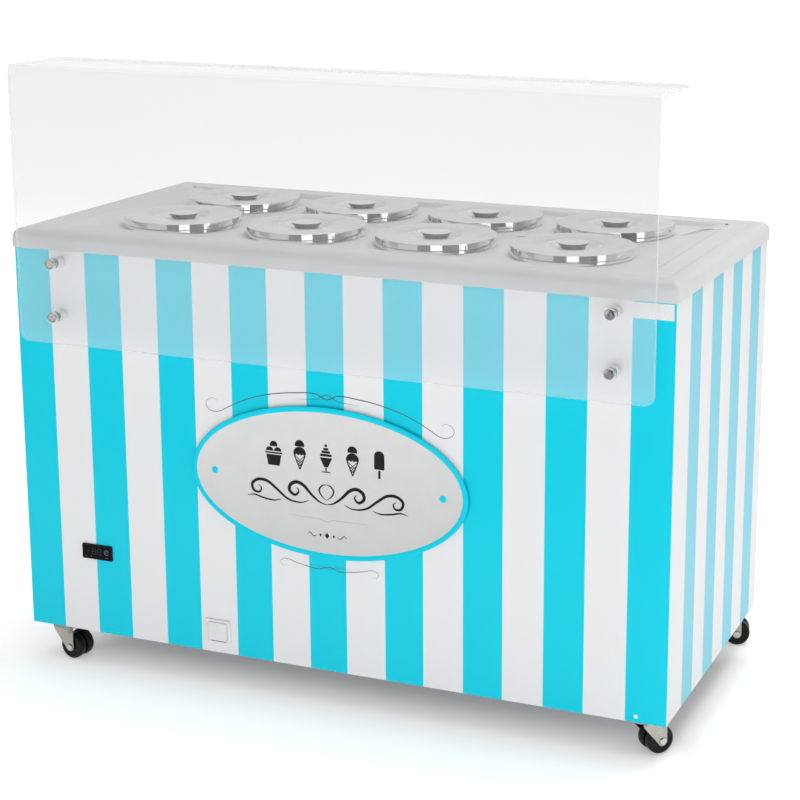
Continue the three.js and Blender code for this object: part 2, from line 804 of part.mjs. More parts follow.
function castorFork() {
  const crown = new THREE.Shape();
  crown.moveTo(CASTOR_TRAIL + 8, -FORK_INNER - FORK_T);
  crown.lineTo(CASTOR_TRAIL + 8, FORK_INNER + FORK_T);
  crown.lineTo(0, FORK_INNER + FORK_T);
  crown.absarc(0, 0, FORK_INNER + FORK_T, Math.PI / 2, (3 * Math.PI) / 2, false);
  crown.closePath();
  crown.holes.push(new THREE.Path().absarc(0, 0, 5.6, 0, 2 * Math.PI, true));
  const top = new THREE.ExtrudeGeometry(crown, {
    depth: CROWN_T,
    bevelEnabled: false,
    curveSegments: 6,
  });
  top.translate(0, 0, CROWN_TOP - CROWN_T);
  const cheek = new THREE.Shape();
  cheek.moveTo(-14, CROWN_TOP);
  cheek.lineTo(-12, CROWN_TOP - 9);
  cheek.lineTo(CASTOR_TRAIL - 9, WHEEL_R - 2);
  cheek.absarc(CASTOR_TRAIL, WHEEL_R, 9, Math.PI + 0.2, 2 * Math.PI, false);
  cheek.lineTo(CASTOR_TRAIL + 8, CROWN_TOP);
  cheek.closePath();
  cheek.holes.push(
    new THREE.Path().absarc(CASTOR_TRAIL, WHEEL_R, 4.4, 0, 2 * Math.PI, true),
  );
  return join(
    top,
    slabAlongY(cheek, FORK_INNER, FORK_INNER + FORK_T, 4),
    slabAlongY(cheek, -FORK_INNER - FORK_T, -FORK_INNER, 4),
  );
}

// Two treads on one hub.
function twinWheel() {
  const wheel = turned([
    [4.4, -19.5], [22, -19.5], [WHEEL_R, -17], [WHEEL_R, -5], [23, -2.8], [11, -2.8],
    [11, 2.8], [23, 2.8], [WHEEL_R, 5], [WHEEL_R, 17], [22, 19.5], [4.4, 19.5],
    [4.4, -19.5],
  ], 16);
  return wheel.rotateX(Math.PI / 2);
}

function axlePin() {
  return rodAlongY(4, 0, -FORK_INNER - FORK_T - 2.2, FORK_INNER + FORK_T + 2.2, 0, 12);
}

for (const [corner, turn] of Object.entries(CASTOR_TURN)) {
  const x = corner.endsWith("l") ? -CASTOR_X : CASTOR_X;
  const y = corner.startsWith("f") ? FRONT + CASTOR_INSET : BACK - CASTOR_INSET;
  add("castor_plate_" + corner, castorPlate(), ZINC).position.set(x, y, 0);
  const swivel = new THREE.Group();
  swivel.position.set(x, y, 0);
  swivel.rotation.z = THREE.MathUtils.degToRad(turn);
  root.add(swivel);
  add("castor_fork_" + corner, castorFork(), ZINC, swivel);
  add("castor_wheel_" + corner, twinWheel(), BLACK_TYRE, swivel)
    .position.set(CASTOR_TRAIL, 0, WHEEL_R);
  add("castor_axle_" + corner, axlePin(), STEEL, swivel)
    .position.set(CASTOR_TRAIL, 0, WHEEL_R);
}

// ---------- tubs and lids ----------

// A straight-sided tub that hangs by its rim in the worktop.
function tub() {
  const inner = TUB_R - TUB_WALL;
  return turned([
    [0, -TUB_DEPTH],
    [TUB_R - 8, -TUB_DEPTH],
    [TUB_R, -TUB_DEPTH + 10],
    [TUB_R, -TUB_RIM_H],
    [TUB_RIM_R, -TUB_RIM_H],
    [TUB_RIM_R, 0],
    [inner, 0],
    [inner, -TUB_DEPTH + 11],
    [TUB_R - 9, -TUB_DEPTH + TUB_WALL],
    [0, -TUB_DEPTH + TUB_WALL],
  ]);
}

// A flat lid with a dished middle, where a cone-shaped knob stands on a boss under the dish.
function lid() {
  return turned([
    [0, -0.8],
    [9, -0.8],
    [9, LID_H - 10],
    [37, LID_H - 10],
    [51, LID_H - 1.6],
    [96, LID_H - 1.6],
    [96, -3],
    [97.5, -3],
    [97.5, 0.3],
    [LID_R, 1.5],
    [LID_R, LID_H],
    [50, LID_H],
    [36, LID_H - 8.4],
    [19, LID_H - 8.4],
    [28, LID_H + 4],
    [0, LID_H + 4],
  ]);
}

const RIM_Z = DECK_TOP + GAP + TUB_RIM_H;
tubCentres.forEach(([x, y], i) => {
  add("tub_" + (i + 1), tub(), STEEL).position.set(x, y, RIM_Z);
  add("lid_" + (i + 1), lid(), STEEL).position.set(x, y, RIM_Z);
});

export default root;
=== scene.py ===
import json
from math import atan2, cos, hypot, pi, radians, sin, sqrt

import bmesh
import bpy
from mathutils import Matrix, Vector


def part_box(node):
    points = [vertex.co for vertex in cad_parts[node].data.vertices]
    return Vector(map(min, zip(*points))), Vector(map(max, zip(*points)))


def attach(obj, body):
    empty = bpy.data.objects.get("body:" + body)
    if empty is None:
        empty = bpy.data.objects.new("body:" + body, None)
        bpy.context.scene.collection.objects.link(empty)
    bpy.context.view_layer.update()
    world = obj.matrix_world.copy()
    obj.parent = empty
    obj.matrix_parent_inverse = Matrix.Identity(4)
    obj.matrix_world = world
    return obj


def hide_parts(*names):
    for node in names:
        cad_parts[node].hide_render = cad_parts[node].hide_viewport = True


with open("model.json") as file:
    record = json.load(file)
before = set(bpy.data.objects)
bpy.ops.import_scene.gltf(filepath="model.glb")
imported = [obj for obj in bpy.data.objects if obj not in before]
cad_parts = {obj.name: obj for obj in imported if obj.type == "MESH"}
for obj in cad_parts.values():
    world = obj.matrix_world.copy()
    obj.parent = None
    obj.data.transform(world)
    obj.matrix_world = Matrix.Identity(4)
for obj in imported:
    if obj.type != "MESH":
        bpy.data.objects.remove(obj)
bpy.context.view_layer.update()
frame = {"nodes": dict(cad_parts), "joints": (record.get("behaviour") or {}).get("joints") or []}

nodes = frame["nodes"]
MM = 0.001
TAU = 2 * pi
UNMOVED = Matrix.Identity(4)
CORNERS = [(-1, -1), (-1, 1), (1, -1), (1, 1)]


# ---------- mesh building ----------

def linked(name, data):
    """A new object in the scene."""
    obj = bpy.data.objects.new(name, data)
    bpy.context.scene.collection.objects.link(obj)
    return obj


def middle(node):
    """The centre of a CAD node's box, and half of its size."""
    lo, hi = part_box(node)
    return [(l + h) / 2 for l, h in zip(lo, hi)], [(h - l) / 2 for l, h in zip(lo, hi)]


def quarter(steps, first=0):
    """Angles up to a quarter turn."""
    return [i / steps * pi / 2 for i in range(first, steps + 1)]


class Shape:
    """Vertices, faces and a material index for each face, gathered into one mesh."""

    def __init__(self):
        self.verts, self.faces, self.mats = [], [], []

    def add(self, verts, faces, mat=0):
        start = len(self.verts)
        self.verts += [Vector(v) for v in verts]
        self.faces += [tuple(start + i for i in f) for f in faces]
        self.mats += mat if isinstance(mat, list) else [mat] * len(faces)

    def loft(self, rings, caps=(True, True), mat=0, mat_of=None, cap_mats=None):
        """Quads between rings of equal length. mat_of(ring, segment) picks a face's material."""
        n, last = len(rings[0]), len(rings) - 1
        faces, mats = [], []
        for k in range(last):
            for i in range(n):
                j = (i + 1) % n
                faces.append((k * n + i, k * n + j, (k + 1) * n + j, (k + 1) * n + i))
                mats.append(mat_of(k, i) if mat_of else mat)
        ends = cap_mats or (mat, mat)
        if caps[0]:
            faces.append(tuple(range(n - 1, -1, -1)))
            mats.append(ends[0])
        if caps[1]:
            faces.append(tuple(last * n + i for i in range(n)))
            mats.append(ends[1])
        self.add([p for ring in rings for p in ring], faces, mats)

    def lathe(self, profile, place=UNMOVED, steps=96, mat_of=None):
        """Turns (radius, height) points, in millimetres, about the local Z axis."""
        turns = [TAU * i / steps for i in range(steps)]
        rings = [[place @ Vector((r * MM * cos(a), r * MM * sin(a), z * MM)) for a in turns]
                 for r, z in profile]
        pick = (lambda k, i: mat_of(k)) if mat_of else None
        self.loft(rings, (profile[0][0] > 0, profile[-1][0] > 0), mat_of=pick)

    def box(self, low, high, bevel=0.0, mat=0, place=UNMOVED, steps=3):
        """A box with rounded edges."""
        bm = bmesh.new()
        size = [h - l for l, h in zip(low, high)]
        centre = [(h + l) / 2 for l, h in zip(low, high)]
        spot = Matrix.Translation(centre) @ Matrix.Diagonal((*size, 1))
        bmesh.ops.create_cube(bm, size=1, matrix=spot)
        if bevel:
            bmesh.ops.bevel(bm, geom=bm.edges[:], offset=bevel, segments=steps, profile=0.5,
                            affect="EDGES", clamp_overlap=True)
        bm.verts.ensure_lookup_table()
        verts = [place @ v.co for v in bm.verts]
        faces = [[v.index for v in f.verts] for f in bm.faces]
        bm.free()
        self.add(verts, faces, mat)

    def mesh(self, name, materials=(), base=Vector()):
        """The welded mesh, with its faces turned outwards."""
        mesh = bpy.data.meshes.new(name)
        mesh.from_pydata([v - base for v in self.verts], [], self.faces)
        for material in materials:
            mesh.materials.append(material)
        mesh.polygons.foreach_set("material_index", self.mats)
        bm = bmesh.new()
        bm.from_mesh(mesh)
        bmesh.ops.remove_doubles(bm, verts=bm.verts, dist=2e-6)
        bmesh.ops.dissolve_degenerate(bm, edges=bm.edges, dist=1e-6)
        bmesh.ops.recalc_face_normals(bm, faces=bm.faces)
        bm.to_mesh(mesh)
        bm.free()
        return mesh

    def build(self, name, materials, slot, node=None, body="cabinet", smooth=35, origin=(0, 0, 0)):
        """Makes the piece; node is the CAD node that it stands for."""
        base = Vector(origin)
        mesh = self.mesh(name, materials, base)
        mesh.shade_smooth()
        mesh.set_sharp_from_angle(angle=radians(smooth))
        obj = linked(name, mesh)
        obj.location = base
        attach(obj, body)
        if node:
            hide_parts(node)
        return obj


def cut(obj, shape):
    """Takes a shape away from a piece for good."""
    cutter = linked("cutter", shape.mesh("cutter"))
    mod = obj.modifiers.new("cut", "BOOLEAN")
    mod.operation, mod.object, mod.solver = "DIFFERENCE", cutter, "EXACT"
    graph = bpy.context.evaluated_depsgraph_get()
    mesh = bpy.data.meshes.new_from_object(obj.evaluated_get(graph))
    obj.modifiers.clear()
    obj.data = mesh
    bpy.data.objects.remove(cutter)


def rounded(half_x, half_y, radius, steps=8, centre=(0, 0)):
    """A rounded rectangle as 2D points, anticlockwise."""
    points = []
    for corner, (sx, sy) in enumerate([(1, 1), (-1, 1), (-1, -1), (1, -1)]):
        for i in range(steps + 1):
            a = (corner + i / steps) * pi / 2
            points.append((
                centre[0] + sx * (half_x - radius) + radius * cos(a),
                centre[1] + sy * (half_y - radius) + radius * sin(a),
            ))
    return points


def plate(centre, half, radius, steps=8):
    """Gives outline(inset), a rounded rectangle drawn in by the inset."""
    def outline(inset=0.0, sharper=0.0):
        return rounded(half[0] - inset, half[1] - inset, radius - sharper, steps, centre)
    return outline


def arc(cx, cz, radius, start, end, steps):
    turns = [radians(start + (end - start) * i / steps) for i in range(steps + 1)]
    return [(cx + radius * cos(a), cz + radius * sin(a)) for a in turns]


def moved(points, cx, cz, scale=MM):
    return [(cx + x * scale, cz + z * scale) for x, z in points]


def smooth_path(points, steps=12):
    """A Catmull-Rom curve through 2D points."""
    path = []
    ends = [points[0], *points, points[-1]]
    for k in range(len(points) - 1):
        p0, p1, p2, p3 = (Vector(p) for p in ends[k:k + 4])
        for i in range(steps):
            t = i / steps
            a, b = 2 * p0 - 5 * p1 + 4 * p2 - p3, 3 * p1 - p0 - 3 * p2 + p3
            path.append(tuple(0.5 * (2 * p1 + (p2 - p0) * t + a * t * t + b * t ** 3)))
    path.append(tuple(points[-1]))
    return path


def sideways(path, k):
    """The direction to the left of a 2D path at its point k."""
    (x0, y0), (x1, y1) = path[max(k - 1, 0)], path[min(k + 1, len(path) - 1)]
    along = Vector((x1 - x0, y1 - y0)).normalized()
    return Vector((-along.y, along.x))


def ring_xz(points, y):
    return [Vector((x, y, z)) for x, z in points]


def front_edge(outline, y_front, radius, steps=4):
    """Rings that round a plate's front edge; outline(inset) gives its XZ points."""
    return [ring_xz(outline(radius * (1 - cos(a))), y_front + radius * (1 - sin(a)))
            for a in quarter(steps)]


def at(x, y, z, turn=0.0, axis="Z"):
    """A place in the model, turned about one axis."""
    return Matrix.Translation((x, y, z)) @ Matrix.Rotation(turn, 4, axis)


def ahead(x, z, y=None):
    """A place on the front, with its local +Z pointing out along -Y."""
    return at(x, FRONT if y is None else y, z, pi / 2, "X")


def behind(x, z, y=None):
    """A place on the rear, with its local +Z pointing out along +Y."""
    return at(x, BACK if y is None else y, z, -pi / 2, "X")


# ---------- materials ----------

class Nodes:
    """Short forms for making nodes in a tree."""

    def __init__(self, tree):
        self.tree = tree

    def node(self, kind, **values):
        """A node with its properties and input values set; an underscore stands for a space."""
        made = self.tree.nodes.new("ShaderNode" + kind)
        for key, value in values.items():
            if hasattr(made, key):
                setattr(made, key, value)
            else:
                made.inputs[key.replace("_", " ")].default_value = value
        return made

    def link(self, a, b):
        self.tree.links.new(a, b)

    def math(self, operation, a, b):
        made = self.node("Math", operation=operation)
        for socket, value in zip(made.inputs, (a, b)):
            if isinstance(value, (int, float)):
                socket.default_value = value
            else:
                self.link(value, socket)
        return made.outputs[0]

    def greys(self, value, stops):
        """A ramp of greys through (position, level) stops."""
        made = self.node("ValToRGB")
        elements = made.color_ramp.elements
        elements[0].position, elements[1].position = stops[0][0], stops[-1][0]
        for position, _ in stops[1:-1]:
            elements.new(position)
        for element, (_, level) in zip(sorted(elements, key=lambda e: e.position), stops):
            element.color = (level, level, level, 1)
        self.link(value, made.inputs["Fac"])
        return made.outputs["Color"]

    def spread(self, value, low, high, start=0.3, end=0.7):
        made = self.node("MapRange", From_Min=start, From_Max=end, To_Min=low, To_Max=high)
        self.link(value, made.inputs["Value"])
        return made.outputs["Result"]


class Look(Nodes):
    """A Principled material with procedural detail in object space. A colour may be one grey level."""

    def __init__(self, name, color, roughness=0.5, metallic=0.0, **sockets):
        self.mat = bpy.data.materials.new(name)
        self.mat.use_nodes = True
        super().__init__(self.mat.node_tree)
        self.shader = self.tree.nodes["Principled BSDF"]
        self.color = (color, color, color, 1) if isinstance(color, float) else (*color, 1)
        self.set("Base Color", self.color)
        self.set("Roughness", roughness)
        self.set("Metallic", metallic)
        for key, value in sockets.items():
            self.set(key.replace("_", " "), value)
        self.rough = roughness
        self.normal = None
        self.coords = self.node("TexCoord").outputs["Object"]

    def set(self, socket, value):
        self.shader.inputs[socket].default_value = value

    def space(self, stretch=(1, 1, 1)):
        mapping = self.node("Mapping", Scale=stretch)
        self.link(self.coords, mapping.inputs["Vector"])
        return mapping.outputs["Vector"]

    def noise(self, scale, detail=3.0, stretch=(1, 1, 1)):
        made = self.node("TexNoise", Scale=scale, Detail=detail, Roughness=0.55)
        self.link(self.space(stretch), made.inputs["Vector"])
        return made.outputs["Fac"]

    def vary_color(self, value, dark, light):
        """Mixes the colour between its dark and light versions."""
        ramp = self.node("ValToRGB")
        for element, position, k in zip(ramp.color_ramp.elements, (0.3, 0.7), (dark, light)):
            element.position = position
            element.color = (*(min(c * k, 1) for c in self.color[:3]), 1)
        self.link(value, ramp.inputs["Fac"])
        self.link(ramp.outputs["Color"], self.shader.inputs["Base Color"])

    def vary_rough(self, value, amount):
        result = self.spread(value, max(self.rough - amount, 0.02), self.rough + amount)
        self.link(result, self.shader.inputs["Roughness"])

    def bump(self, value, strength, distance):
        """Adds a bump, and gives the material, since a bump comes last."""
        made = self.node("Bump", Strength=strength, Distance=distance)
        self.link(value, made.inputs["Height"])
        if self.normal:
            self.link(self.normal, made.inputs["Normal"])
        self.normal = made.outputs["Normal"]
        self.link(self.normal, self.shader.inputs["Normal"])
        return self.mat


def paint(name, color, roughness):
    """Sprayed or printed sheet: a faint orange peel and a trace of handling."""
    look = Look(name, color, roughness, Specular_IOR_Level=0.2)
    look.vary_color(look.noise(2.2, 4), 0.985, 1.0)
    look.vary_rough(look.noise(9, 5), 0.012)
    return look.bump(look.noise(420, 2), 0.02, 0.0002)


def moulding(name, color, roughness):
    """A satin moulded top: fine grain, faint wipe marks and slow waviness."""
    look = Look(name, color, roughness, Specular_IOR_Level=0.45)
    look.vary_color(look.noise(3.5, 5), 0.965, 1.02)
    look.vary_rough(look.noise(26, 5, (1, 6, 1)), 0.09)
    look.bump(look.noise(7, 2), 0.10, 0.002)
    return look.bump(look.noise(900, 2), 0.10, 0.0002)


def plastic(name, color, roughness, grain=1300, specular=0.5):
    """Moulded plastic or rubber with a fine grain."""
    look = Look(name, color, roughness, Specular_IOR_Level=specular)
    look.vary_color(look.noise(30, 3), 0.94, 1.04)
    look.vary_rough(look.noise(60, 4), 0.07)
    return look.bump(look.noise(grain, 2), 0.14, 0.0002)


def spun_steel(name, color, roughness, turned_bump, metallic=1.0):
    """Polished sheet spun on a lathe: concentric marks about the piece's own axis and streaked gloss."""
    look = Look(name, color, roughness, metallic, Anisotropic=0.45)
    rings = look.node("TexWave", wave_type="RINGS", rings_direction="Z", Scale=110.0,
                      Distortion=1.6, Detail=3.0, Detail_Scale=3.0)
    look.link(look.space(), rings.inputs["Vector"])
    tangent = look.node("Tangent", direction_type="RADIAL", axis="Z")
    look.link(tangent.outputs["Tangent"], look.shader.inputs["Tangent"])
    look.vary_color(look.noise(16, 4), 0.95, 1.0)
    look.vary_rough(look.noise(38, 5), 0.05)
    return look.bump(rings.outputs["Fac"], turned_bump, 0.0001)


def sheet_metal(name, color, roughness, stretch=(1, 1, 12), spangle=0.0, dark=0.86, metallic=1.0):
    """Rolled or plated metal: drawn grain one way, blotchy gloss, and spangle on zinc."""
    look = Look(name, color, roughness, metallic)
    look.vary_color(look.noise(24, 4), dark, 1.04)
    look.vary_rough(look.noise(70, 5, stretch), 0.10)
    if spangle:
        cells = look.node("TexVoronoi", Scale=120.0)
        look.link(look.space(), cells.inputs["Vector"])
        look.bump(cells.outputs["Distance"], spangle, 0.0003)
    return look.bump(look.noise(260, 3, stretch), 0.12, 0.0002)


def clear_plastic(name, color, alpha, roughness, wear, low_painted_reflection_color=None):
    """Cast acrylic: a milky tint, which is painted reflection haze, and faint wipe marks; below the top it
    may take another colour, a lighter painted reflection.
    """
    look = Look(name, color, roughness, Alpha=alpha, Specular_IOR_Level=0.5, IOR=1.49)
    look.link(look.spread(look.noise(0.9, 2), alpha * 0.92, alpha * 1.08), look.shader.inputs["Alpha"])
    # Below the top the tint blends to a lighter colour: a painted reflection.
    if low_painted_reflection_color:
        height = look.node("SeparateXYZ")
        look.link(look.coords, height.inputs[0])
        ramp = look.node("ValToRGB")
        ramp.color_ramp.elements[0].color = (*low_painted_reflection_color, 1)
        ramp.color_ramp.elements[1].color = look.color
        look.link(look.spread(height.outputs["Z"], 0, 1, 0.78, 0.90), ramp.inputs["Fac"])
        look.link(ramp.outputs["Color"], look.shader.inputs["Base Color"])
    else:
        look.vary_color(look.noise(3, 3), 0.98, 1.0)
    look.vary_rough(look.noise(14, 5, (1, 1, 5)), wear)
    return look.bump(look.noise(5, 2), 0.03, 0.001)


def display_lens(name, level, roughness):
    """A black window with a barely uneven gloss."""
    look = Look(name, (level, level, level * 4 / 3), roughness, Specular_IOR_Level=0.06)
    look.vary_rough(look.noise(90, 4), 0.03)
    return look.bump(look.noise(400, 2), 0.02, 0.0002)


def foam(name, color):
    look = Look(name, color, 0.95)
    look.vary_color(look.noise(120, 4), 0.85, 1.05)
    return look.bump(look.noise(500, 3), 0.5, 0.0006)


mat_top = moulding("worktop_satin", (0.60, 0.60, 0.605), 0.38)
mat_cyan = paint("panel_cyan", (0.0, 0.62, 0.78), 0.24)
# The side panels take the front's stripe paints with painted light: the cyan is paler, a painted sheen, and
# the white darker, a painted shade.
mat_painted_sheen_cyan = paint("side_cyan_painted_sheen", (0.20, 0.56, 0.68), 0.46)
mat_painted_shade_white = paint("side_white_painted_shade", (0.72, 0.72, 0.73), 0.46)
mat_white = paint("panel_white", (0.80, 0.80, 0.81), 0.26)
mat_plaque = sheet_metal("plaque_satin", (0.66, 0.66, 0.655), 0.55, (14, 1, 1), dark=0.99, metallic=0.1)
mat_ink = paint("ink_black", (0.012, 0.011, 0.013), 0.45)
mat_ink_thin = paint("ink_soft", (0.07, 0.05, 0.06), 0.5)
mat_faint = paint("ink_faint", 0.42, 0.5)
# The sheet's grey tint is painted reflection haze; lower down it turns to the lighter painted reflection
# colour.
mat_clear = clear_plastic("clear_sheet", (0.42, 0.43, 0.44), 0.135, 0.05, 0.02, (0.87, 0.87, 0.88))
# The sheet's edges: a paler, denser copy of the sheet, a painted highlight.
mat_edge_painted_highlight = clear_plastic("clear_edge_painted_highlight", (0.80, 0.84, 0.85), 0.40, 0.12, 0.05)
mat_lid = spun_steel("lid_polished", 0.83, 0.15, 0.10)
mat_skirt = spun_steel("lid_skirt_mirror", 0.86, 0.06, 0.02)
# The dish is half metal, so its own light grey shows: a painted sheen on a satin finish.
mat_dish_painted_sheen = spun_steel("lid_dish_satin", 0.86, 0.24, 0.08, metallic=0.5)
# The knob's side is dark steel: a painted shade for the shaded dish that it reflects.
mat_knob_painted_shade = spun_steel("lid_knob_side", 0.20, 0.09, 0.05)
# A dark grey for the strip under the drain cap: a painted shadow.
mat_gap_painted_shadow = plastic("gap_painted_shadow_grey", 0.22, 0.5)
mat_tub = spun_steel("tub_polished", 0.80, 0.14, 0.05)
mat_turned = spun_steel("standoff_turned", (0.80, 0.80, 0.79), 0.17, 0.10)
mat_zinc = sheet_metal("castor_zinc", (0.42, 0.40, 0.35), 0.30, (1, 1, 8))
mat_galvanised = sheet_metal("galvanised", (0.50, 0.52, 0.53), 0.42, (1, 1, 1), spangle=0.5)
mat_axle = sheet_metal("axle_steel", 0.58, 0.28)
mat_tank = sheet_metal("tank_drawn", 0.66, 0.3, (1, 9, 1))
mat_fins = sheet_metal("condenser_fins", (0.62, 0.63, 0.63), 0.38)
mat_fan = sheet_metal("fan_pressed", (0.58, 0.59, 0.60), 0.36, (1, 1, 1))
mat_black_paint = plastic("black_paint", (0.013, 0.013, 0.014), 0.45, 700)
mat_lens = display_lens("lens_black", 0.003, 0.12)
mat_ghost = plastic("display_ghost", (0.030, 0.032, 0.034), 0.30, specular=0.1)
mat_mark = plastic("display_mark", (0.22, 0.23, 0.24), 0.35)
mat_white_plastic = plastic("white_plastic", 0.78, 0.36)
mat_black_plastic = plastic("black_plastic", (0.009, 0.009, 0.010), 0.42, specular=0.12)
mat_rubber = plastic("tyre_black", (0.006, 0.006, 0.007), 0.36, 500, specular=0.2)

# CAD nodes that stay, with their finishes.
KEPT = {
    "rear_panel": mat_white,
    "base_tray": mat_galvanised,
    "tank_liner": mat_tank,
    "foam_insulation": foam("rigid_foam", (0.70, 0.60, 0.28)),
    "compressor": mat_black_paint,
    "condenser": mat_fins,
    "fan_motor": mat_black_paint,
    "fan_blades": mat_fan,
    "drain_pipe": mat_white_plastic,
}
for name, mat in KEPT.items():
    nodes[name].data.materials.clear()
    nodes[name].data.materials.append(mat)


# ---------- where things are ----------

front_lo, front_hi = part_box("front_panel")
FRONT, HALF_W = front_lo.y, front_hi.x
PANEL_LOW, PANEL_HIGH = front_lo.z, front_hi.z
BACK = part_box("rear_panel")[1].y
top_lo, top_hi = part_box("worktop")
RIM = top_hi.z
SHEET = 1.5 * MM


# ---------- worktop ----------

LIP_WIDTH, LIP_DROP = 24, 22 * MM
LIP_POWER = 2 / 2.8
RAMP_START, RAMP_WIDTH = 65, 46
RAMP_TOP = RIM - 0.7 * MM


def ease(t):
    return t * t * (3 - 2 * t)


def worktop():
    """The moulded top with its sunken deck and the tubs' holes; gives the deck's height."""
    (mid_x, mid_y, _), (half_x, half_y, _) = middle("worktop")
    low = top_lo.z
    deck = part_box("tub_1")[1].z - 6.0 * MM

    def level(sides, z, radius, front=None, rear=None):
        """A ring at height z; radius and insets in millimetres, the front and rear ones if they differ."""
        front = sides if front is None else front
        rear = sides if rear is None else rear
        centre = (mid_x, mid_y + (front - rear) / 2 * MM)
        half = (half_x - sides * MM, half_y - (front + rear) / 2 * MM)
        return [Vector((x, y, z)) for x, y in rounded(*half, radius * MM, 6, centre)]

    rings = [level(3, low, 4), level(1, low, 6), level(0, low + 1.0 * MM, 6), level(0, RIM - LIP_DROP, 6)]
    # The lip's section is a superellipse: nearly flat on top, with a full shoulder.
    for a in quarter(16, 1):
        inset = LIP_WIDTH * (1 - max(cos(a), 0) ** LIP_POWER)
        z = RIM - LIP_DROP + LIP_DROP * sin(a) ** LIP_POWER
        rings.append(level(inset, z, max(6 - inset * 0.35, 1.6)))
    # A fine line where the flat rim begins, and a narrow crease where it ends.
    for inset, fall in ((24.3, 0.9), (25.0, 0.9), (25.6, 0)):
        rings.append(level(inset, RIM - fall * MM, 1.6))
    for inset, fall in ((62.7, 0), (63.2, 0.3), (63.7, 1.6), (64.5, 1.8), (RAMP_START, 0.7)):
        rings.append(level(inset, RIM - fall * MM, 9))
    # A soft ramp down to the deck, steepest at the rear.
    for i in range(1, 13):
        t = i / 12
        z = RAMP_TOP - (RAMP_TOP - deck) * ease(t)
        rings.append(level(RAMP_START + RAMP_WIDTH * t, z, 9, RAMP_START + 14 * t, RAMP_START + 8.5 * t))
    shape = Shape()
    shape.loft(rings, caps=(False, True))
    # The hollow underside closes the skin.
    under = [level(3, low, 4), level(3, RIM - 23 * MM, 4), level(9, RIM - 13 * MM, 3)]
    under += [level(20, RIM - 5 * MM, 3), level(60, RIM - 4.6 * MM, 8), level(66, deck - 3 * MM, 8)]
    shape.loft(under, caps=(False, True))
    obj = shape.build("worktop_top", [mat_top], "worktop_grey", "worktop", smooth=28)
    holes = Shape()
    low = deck / MM - 12
    for i in range(1, 9):
        (x, y, _), _ = middle("tub_%d" % i)
        holes.lathe([(0, low), (101.5, low), (101.5, low + 24), (0, low + 24)], at(x, y, 0))
    cut(obj, holes)
    obj.data.set_sharp_from_angle(angle=radians(28))
    return deck


DECK = worktop()

# Section of a low moulded shoulder: a short wall, then a long fall back to the deck.
SHOULDER = [(-0.05, 0), (-0.025, 0.7), (0, 1), (0.08, 0.97), (0.25, 0.80), (0.5, 0.42), (0.75, 0.12),
            (1, 0)]


def deck_height(x):
    """The deck's height, with its ramp on the right."""
    t = min(max((top_hi.x - x - RAMP_START * MM) / (RAMP_WIDTH * MM), 0), 1)
    return DECK + (RAMP_TOP - DECK) * (1 - ease(t))


def shoulder(shape, path, width, height):
    """A low shoulder on the deck along a path: its wall faces right, and its ends fade out."""
    rings = []
    for k, spot in enumerate(path):
        side = sideways(path, k)
        t = min(max(k / (len(path) - 1), 0.02), 0.98)
        fade = sin(pi * t) ** 0.6
        ring = []
        for s, rise in [(s, h * height * fade) for s, h in SHOULDER] + [(1, -0.4 * MM), (-0.05, -0.4 * MM)]:
            p = Vector(spot) + side * (s * width * t)
            ring.append(Vector((p.x, p.y, deck_height(p.x) + rise)))
        rings.append(ring)
    shape.loft(rings)


def deck_details():
    """Moulded beads beside the tubs, and drain pits in the rear corners, drawn as shallow black cups:
    painted shade for their hollows.
    """
    shape = Shape()
    tub_lo, tub_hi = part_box("tub_8")
    bead = [(15, 3), (23, 24), (31, 48), (41, 67), (54, 63), (67, 53)]
    path = moved(bead, tub_hi.x, (tub_lo.y + tub_hi.y) / 2)
    shoulder(shape, smooth_path(path), 36 * MM, 3.2 * MM)
    y = (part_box("tub_1")[1].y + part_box("tub_5")[0].y) / 2
    for i in (1, 2, 3):
        x = (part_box("tub_%d" % i)[1].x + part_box("tub_%d" % (i + 1))[0].x) / 2
        mark = smooth_path(moved([(-22, -4), (0, 3), (22, 1)], x, y))
        shoulder(shape, mark, 14 * MM, 2.0 * MM)
    shape.build("worktop_beads", [mat_top], "worktop_grey", smooth=60)
    pits = Shape()
    inset = 62.5 * MM
    for side in (-1, 1):
        spot = at(side * (HALF_W - inset), BACK - inset, RIM - 0.1 * MM)
        # Black plastic: painted shade in the pits.
        pits.lathe([(0, -0.2), (2.6, -0.2), (2.6, 0.25), (2.0, 0.35), (1.5, 0.05), (0, 0.05)], spot, 32)
    pits.build("worktop_drain_pits", [mat_black_plastic], "black_plastic")


deck_details()


# ---------- striped panels ----------

def sheet_section(half, depth, stops, radius):
    """A panel's cross-section with its face on y = 0: the face has a point at every stripe edge."""
    face = [(x, 0.0) for x in (-half + radius, *stops, half - radius)]
    right = [(half - radius + radius * sin(a), radius - radius * cos(a)) for a in quarter(4, 1)]
    left = [(-half + radius - radius * cos(a), radius - radius * sin(a)) for a in quarter(4)[:-1]]
    return face + right + [(half, depth), (-half, depth)] + left


